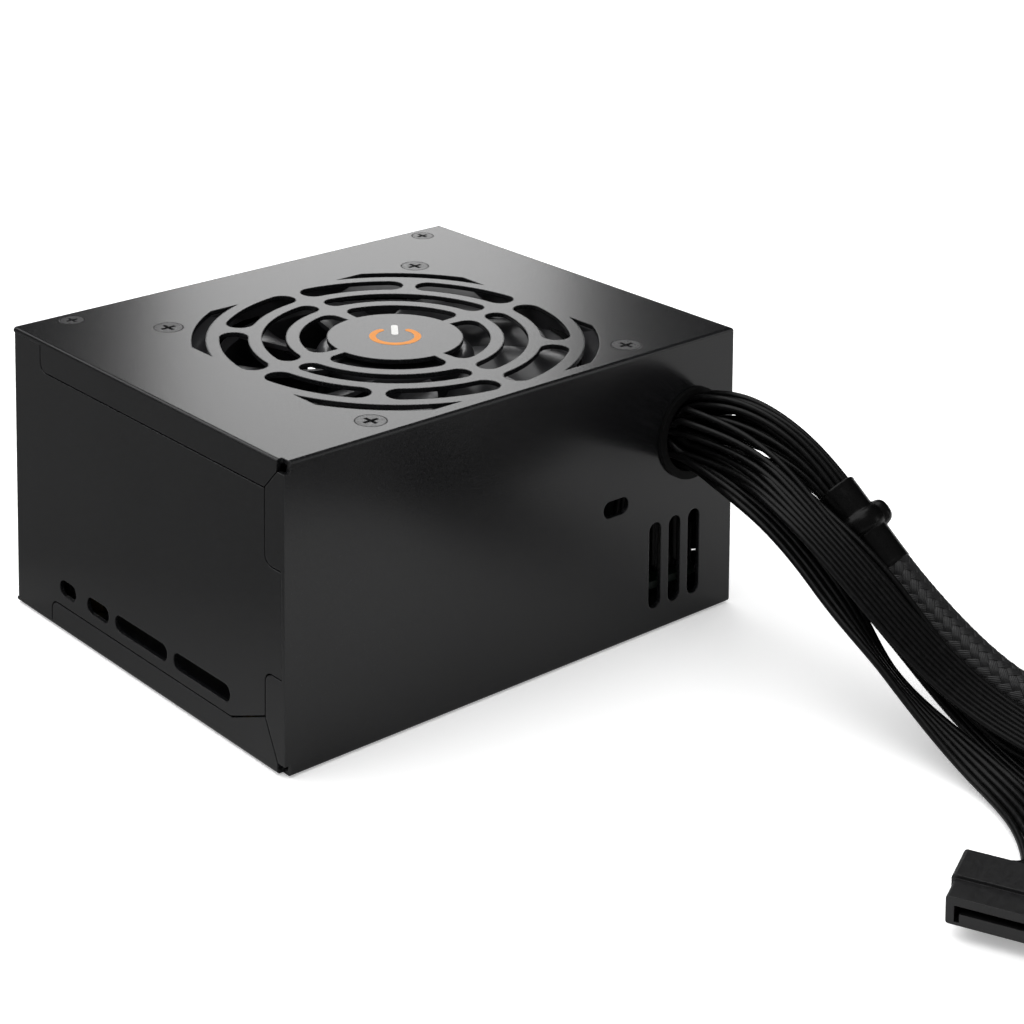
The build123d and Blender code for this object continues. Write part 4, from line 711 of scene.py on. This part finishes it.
def closed_sleeve(start_y, end_y, outer, bore, sides=64, ripple=0.0):
    """Points and faces of a sleeve with both walls and rounded lips."""
    outside = sleeve_rings(start_y, end_y, outer, sides, ripple)
    inside = sleeve_rings(start_y, end_y, bore, sides, ripple)
    rows = np.concatenate([outside, inside[::-1]])
    points = rows.reshape(-1, 3)
    faces = grid_faces(len(rows), sides)
    last = (len(rows) - 1) * sides
    faces += [(last + c, last + (c + 1) % sides, (c + 1) % sides, c) for c in range(sides)]
    return points, faces


def lip(share, radius, drop=0.3, reach=0.02, bead=0.1):
    """A radius along a sleeve with a small bead at each lip, rounded over at the very end."""
    inward = np.minimum(share, 1 - share) / reach
    rounding = 1 - np.sqrt(np.clip(1 - (1 - np.clip(inward, 0, 1)) ** 2, 0, 1))
    return radius - drop * rounding + bead * np.exp(-((inward - 0.9) / 0.8) ** 2)


def evaluated_copy(obj, name, slot_name, body):
    """The object with its modifiers applied, as a new piece; the old one goes."""
    graph = bpy.context.evaluated_depsgraph_get()
    mesh = bpy.data.meshes.new_from_object(obj.evaluated_get(graph))
    mesh.name = name
    bpy.data.objects.remove(obj, do_unlink=True)
    mesh.polygons.foreach_set("use_smooth", [True] * len(mesh.polygons))
    mesh.materials.clear()
    mesh.materials.append(finishes[slot_name])
    new = bpy.data.objects.new(name, mesh)
    bpy.context.scene.collection.objects.link(new)
    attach(new, body)
    return new


shrink_radius, shrink_bore = 4.5, 3.95
shrink_start, shrink_end, tie_place = -85.0, -99.0, -91.6
boot_start, boot_end = -150.0, -153.0


def shrink_outside(share):
    """The outer radius of a length of heat-shrink."""
    return lip(share, shrink_radius)


def shrink_inside(share):
    """The bore of a length of heat-shrink."""
    return np.full_like(share, shrink_bore)


def shrink_over_tie():
    """Heat-shrink drawn tight over a cable tie: one smooth skin with a band and a knob in it."""
    sides, section = 72, 14
    band_radius, band_rise, band_half = 4.55, 0.85, 2.1
    points, faces = closed_sleeve(shrink_start, shrink_end, shrink_outside, shrink_inside, sides,
                                  0.006)
    points = list(points)
    at = path_index(tie_place)
    centre, along, one, two = main_line[at], main_along[at], main_one[at], main_two[at]
    start = len(points)
    for k in range(sides):
        turn = 2 * np.pi * k / sides
        out = one * np.cos(turn) + two * np.sin(turn)
        for j in range(section):
            angle = 2 * np.pi * j / section
            points.append(centre + out * (band_radius + band_rise * np.sin(angle))
                          + along * band_half * np.cos(angle))
    for k in range(sides):
        for j in range(section):
            here, beside = start + k * section, start + ((k + 1) % sides) * section
            above = (j + 1) % section
            faces.append((here + j, beside + j, beside + above, here + above))
    knob_way = np.array([0.85, -0.28, 0.44])
    knob_reach, knob_size = 4.1, (2.9, 3.1, 2.7)
    knob_out = unit(knob_way - along * np.dot(along, knob_way))
    knob_side = np.cross(along, knob_out)
    start, rings, around = len(points), 12, 24
    for r in range(1, rings):
        polar = np.pi * r / rings
        for k in range(around):
            turn = 2 * np.pi * k / around
            ball = (np.sin(polar) * np.cos(turn), np.sin(polar) * np.sin(turn), np.cos(polar))
            out, aside, ahead = [size * np.sign(v) * abs(v) ** 0.75
                                 for size, v in zip(knob_size, ball)]
            points.append(centre + knob_out * (knob_reach + out) + knob_side * aside
                          + along * ahead)
    faces += grid_faces(rings - 1, around, start)
    faces.append(tuple(start + k for k in range(around))[::-1])
    faces.append(tuple(start + (rings - 2) * around + k for k in range(around)))
    raw = mesh_object("shrink_raw", np.array(points) * MM, faces, "heat_shrink_plastic", "case")
    remesh = raw.modifiers.new("skin", "REMESH")
    remesh.mode = "VOXEL"
    remesh.voxel_size = 0.22 * MM
    smooth = raw.modifiers.new("ease", "SMOOTH")
    smooth.factor = 0.6
    smooth.iterations = 5
    return evaluated_copy(raw, "heat_shrink_skin", "heat_shrink_plastic", "case")


skin = shrink_over_tie()
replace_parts(skin, "heat_shrink", "cable_tie")

boot_points, boot_faces = closed_sleeve(boot_start, boot_end, shrink_outside, shrink_inside)
mesh_object("heat_shrink_end", boot_points * MM, boot_faces, "heat_shrink_plastic", "case")


def braid():
    """Two families of flat strands that pass over two and under two, as one piece."""
    step = slice(path_index(-97.5), path_index(-150.6) + 1)
    line = main_line[step]
    gaps = np.linalg.norm(np.diff(line, axis=0), axis=1)
    length = np.concatenate(([0.0], np.cumsum(gaps)))
    fine = np.linspace(0, length[-1], 420)
    strands, radius, helix, lift = 12, 4.2, math.radians(42), 0.2
    rate = math.tan(helix) / radius
    half_width, across, rib_height, crown = 0.86, 11, 0.05, 0.1
    base, one, two = [np.stack([np.interp(fine, length, values[:, k]) for k in range(3)], 1)
                      for values in (line, main_one[step], main_two[step])]
    one, two = unit(one), unit(two)
    points, faces, uvs = [], [], []
    for family in (1, -1):
        for k in range(strands):
            turn = 2 * np.pi * k / strands + family * rate * fine
            partner = k + family * 2 * rate * fine * strands / (2 * np.pi)
            over = family * np.cos(np.pi / 2 * (k + partner - 0.5))
            reach = radius + lift * np.clip(1.25 * over, -1, 1)
            offset = len(points)
            for c in range(across):
                share = 2 * c / (across - 1) - 1
                rib = rib_height * abs(math.sin(strand_ribs * math.pi * c / (across - 1)))
                angle = turn + share * half_width * math.cos(helix) / radius
                moved = fine - family * share * half_width * math.sin(helix)
                centre = np.stack([np.interp(moved, fine, base[:, i]) for i in range(3)], 1)
                out = one * np.cos(angle)[:, None] + two * np.sin(angle)[:, None]
                points.append(centre + out * (reach + rib - crown * share * share)[:, None])
                uvs.append(np.stack([np.full(len(fine), c / (across - 1)), fine], 1))
            for c in range(across - 1):
                a, b = (offset + c) * len(fine), (offset + c + 1) * len(fine)
                faces += [(a + i, b + i, b + i + 1, a + i + 1) for i in range(len(fine) - 1)]
    return mesh_object("braided_sleeve_strands", np.concatenate(points) * MM, faces,
                       "braid_plastic", "case", np.concatenate(uvs))


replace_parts(braid(), "braided_sleeve")


# --- Printed mark: a power symbol on the grille's hub ---------------------------------------------


def paint(name, colour):
    """Screen-printed ink, slightly uneven."""
    s = Shader(name)
    uneven = s.noise(2200.0, 3.0)
    tone = s.mix(s.remap(uneven, 0.0, 1.0, 0.3, 0.75), darker(colour, 0.82), colour)
    s.link(tone, s.bsdf.inputs["Base Color"])
    s.link(s.spread(uneven, 0.4, 0.6), s.bsdf.inputs["Roughness"])
    s.link(s.bump(uneven, 8e-6), s.bsdf.inputs["Normal"])
    return s.material


def stroke(points, width, height):
    """A thin raised stroke with round ends along flat points."""
    p = np.array(points, float)
    along = unit(np.gradient(p, axis=0))
    side = np.stack([-along[:, 1], along[:, 0]], 1) * width / 2
    cap = np.linspace(np.pi / 2, -np.pi / 2, 9)[1:-1]
    head = [p[-1] + (side[-1] * np.sin(c) + along[-1] * width / 2 * np.cos(c)) for c in cap]
    tail = [p[0] - (side[0] * np.sin(c) + along[0] * width / 2 * np.cos(c)) for c in cap]
    outline = list(p + side) + head + list((p - side)[::-1]) + tail
    count = len(outline)
    points3 = [(x, y, 0.0) for x, y in outline] + [(x, y, height) for x, y in outline]
    faces = [tuple(range(count, 2 * count))]
    faces += [(k, (k + 1) % count, count + (k + 1) % count, count + k) for k in range(count)]
    return points3, faces


def mark(name, line, width, place, material, body, slot_name):
    """A stroke placed by a matrix, as one printed piece."""
    ink_height = 0.03
    points, faces = stroke(line, width, ink_height)
    world_points = [place @ (Vector(point) * MM) for point in points]
    obj = mesh_object(name, world_points, faces, slot_name, body, smooth=False)
    obj.data.materials.clear()
    obj.data.materials.append(material)


def arc(radius, start, end, count=40):
    """Flat points of an arc between two angles, in degrees."""
    turn = np.radians(np.linspace(start, end, count))
    return np.stack([radius * np.cos(turn), radius * np.sin(turn)], 1)


symbol_turn = math.radians(-38)
symbol_stroke = 1.5
top_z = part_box("outer_shell")[1].z
rotor_low, rotor_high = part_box("fan_rotor")
fan_centre = (rotor_low + rotor_high) / 2
hub_face = (Matrix.Translation((fan_centre.x, fan_centre.y, top_z))
            @ Matrix.Rotation(symbol_turn, 4, "Z"))
white_ink = paint("white_ink", (0.8, 0.8, 0.78))
amber_ink = paint("amber_ink", (0.8, 0.28, 0.03))
mark("power_symbol_arc", arc(5.0, 128, 412), symbol_stroke, hub_face, amber_ink, "case",
     "black_powder_coat")
mark("power_symbol_bar", [(0, 1.6), (0, 4.0), (0, 6.6)], symbol_stroke, hub_face, white_ink,
     "case", "black_powder_coat")


# --- Studio ---------------------------------------------------------------------------------------


def floor():
    """A wide floor: pale to the camera, and a mid grey in the object's own reflections."""
    size, below = 6.0, -0.3 * MM
    mesh = bpy.data.meshes.new("floor")
    mesh.from_pydata([(-size, -size, below), (size, -size, below), (size, size, below),
                      (-size, size, below)], [], [(0, 1, 2, 3)])
    obj = bpy.data.objects.new("floor", mesh)
    bpy.context.scene.collection.objects.link(obj)
    s = Shader("floor")
    seen = s.n("ShaderNodeLightPath").outputs["Is Camera Ray"]
    pale = s.mix(s.noise(3.0, 2.0), (0.93, 0.93, 0.93), (0.95, 0.95, 0.95))
    # Painted shade: as seen in the object's reflections, the floor is a darker grey towards the far
    # left, standing in for the light falling off there.
    leftwards = s.math("ADD", s.axis("X"), s.math("MULTIPLY", s.axis("Y"), -0.6))
    painted_shade_far_left = s.remap(leftwards, 0.0, 1.0, -0.12, 0.0)
    grey = s.mix(painted_shade_far_left, (0.17, 0.17, 0.17), (0.56, 0.56, 0.56))
    s.link(s.mix(seen, grey, pale), s.bsdf.inputs["Base Color"])
    s.bsdf.inputs["Roughness"].default_value = 0.9
    s.bsdf.inputs["Specular IOR Level"].default_value = 0.0
    s.bsdf.inputs["Emission Color"].default_value = (1, 1, 1, 1)
    floor_glow = 0.3
    s.link(s.math("MULTIPLY", seen, floor_glow), s.bsdf.inputs["Emission Strength"])
    mesh.materials.append(s.material)


def area_light(name, place, target, width, height, power):
    """A rectangular softbox at the place, facing the target."""
    data = bpy.data.lights.new(name, "AREA")
    data.shape = "RECTANGLE"
    data.size, data.size_y, data.energy = width, height, power
    obj = bpy.data.objects.new(name, data)
    obj.location = place
    obj.rotation_mode = "QUATERNION"
    obj.rotation_quaternion = (Vector(target) - Vector(place)).to_track_quat("-Z", "Y")
    bpy.context.scene.collection.objects.link(obj)


def world(front, back, dome):
    """White to the camera, an even dome to matt surfaces, and to gloss a room darker behind."""
    new = bpy.data.worlds.new("studio")
    new.use_nodes = True
    tree = new.node_tree
    background = tree.nodes["Background"]
    ray = tree.nodes.new("ShaderNodeLightPath")
    place = tree.nodes.new("ShaderNodeTexCoord")
    dot = tree.nodes.new("ShaderNodeVectorMath")
    dot.operation = "DOT_PRODUCT"
    dot.inputs[1].default_value = (0.62, 0.78, 0.0)
    room = tree.nodes.new("ShaderNodeMapRange")
    for key, value in (("From Min", -0.3), ("From Max", 0.5), ("To Min", front),
                       ("To Max", back)):
        room.inputs[key].default_value = value
    matt, level = tree.nodes.new("ShaderNodeMix"), tree.nodes.new("ShaderNodeMix")
    matt.inputs["B"].default_value = dome
    level.inputs["B"].default_value = 1.0
    tree.links.new(place.outputs["Generated"], dot.inputs[0])
    tree.links.new(dot.outputs["Value"], room.inputs["Value"])
    tree.links.new(ray.outputs["Is Diffuse Ray"], matt.inputs["Factor"])
    tree.links.new(room.outputs["Result"], matt.inputs["A"])
    tree.links.new(ray.outputs["Is Camera Ray"], level.inputs["Factor"])
    tree.links.new(matt.outputs["Result"], level.inputs["A"])
    tree.links.new(level.outputs["Result"], background.inputs["Strength"])
    background.inputs["Color"].default_value = (1, 1, 1, 1)
    bpy.context.scene.world = new


floor()
world(0.16, 0.02, 0.72)
strip_far = 6.0


def far_strip(name, turn, lift, width, height, radiance):
    """A tall softbox far off, at a turn from +Y towards +X and a lift, both in degrees."""
    turn, lift = math.radians(turn), math.radians(lift)
    place = (strip_far * math.sin(turn) * math.cos(lift),
             strip_far * math.cos(turn) * math.cos(lift), strip_far * math.sin(lift))
    area_light(name, place, (0, 0, 0.06), width, height, 4 * radiance * width * height)


far_strip("back_strip", 38.8, 20, 1.08, 2.4, 1.7)
far_strip("left_strip", -46, 24, 1.6, 2.0, 0.9)
far_strip("front_strip", 138, 17, 1.6, 2.0, 0.9)
area_light("top_softbox", (-0.35, 0.45, 1.5), (0, 0, 0), 2.2, 2.2, 26.0)

view = bpy.context.scene.view_settings
view.view_transform = "Standard"


def camera():
    """The camera, with a shifted lens that is straight again wherever else the camera is put."""
    azimuth, elevation = math.radians(-38.55), math.radians(6.34)
    home = Vector((-0.3308, -0.4075, 0.2433))
    look = Vector((-math.sin(azimuth) * math.cos(elevation),
                   math.cos(azimuth) * math.cos(elevation), -math.sin(elevation)))
    data = bpy.data.cameras.new("camera")
    data.sensor_width, data.lens = 36.0, 85.64
    data.clip_start = 0.01
    obj = bpy.data.objects.new("camera", data)
    obj.location = home
    obj.rotation_mode = "QUATERNION"
    obj.rotation_quaternion = look.to_track_quat("-Z", "Y")
    bpy.context.scene.collection.objects.link(obj)
    for path, shift in (("shift_x", 0.1562), ("shift_y", -0.7109)):
        driver = data.driver_add(path).driver
        driver.type = "SCRIPTED"
        variable = driver.variables.new()
        variable.name = "x"
        variable.type = "TRANSFORMS"
        variable.targets[0].id = obj
        variable.targets[0].transform_type = "LOC_X"
        driver.expression = f"{shift} if abs(x - ({home.x})) < 0.001 else 0.0"
    bpy.context.scene.camera = obj


camera()
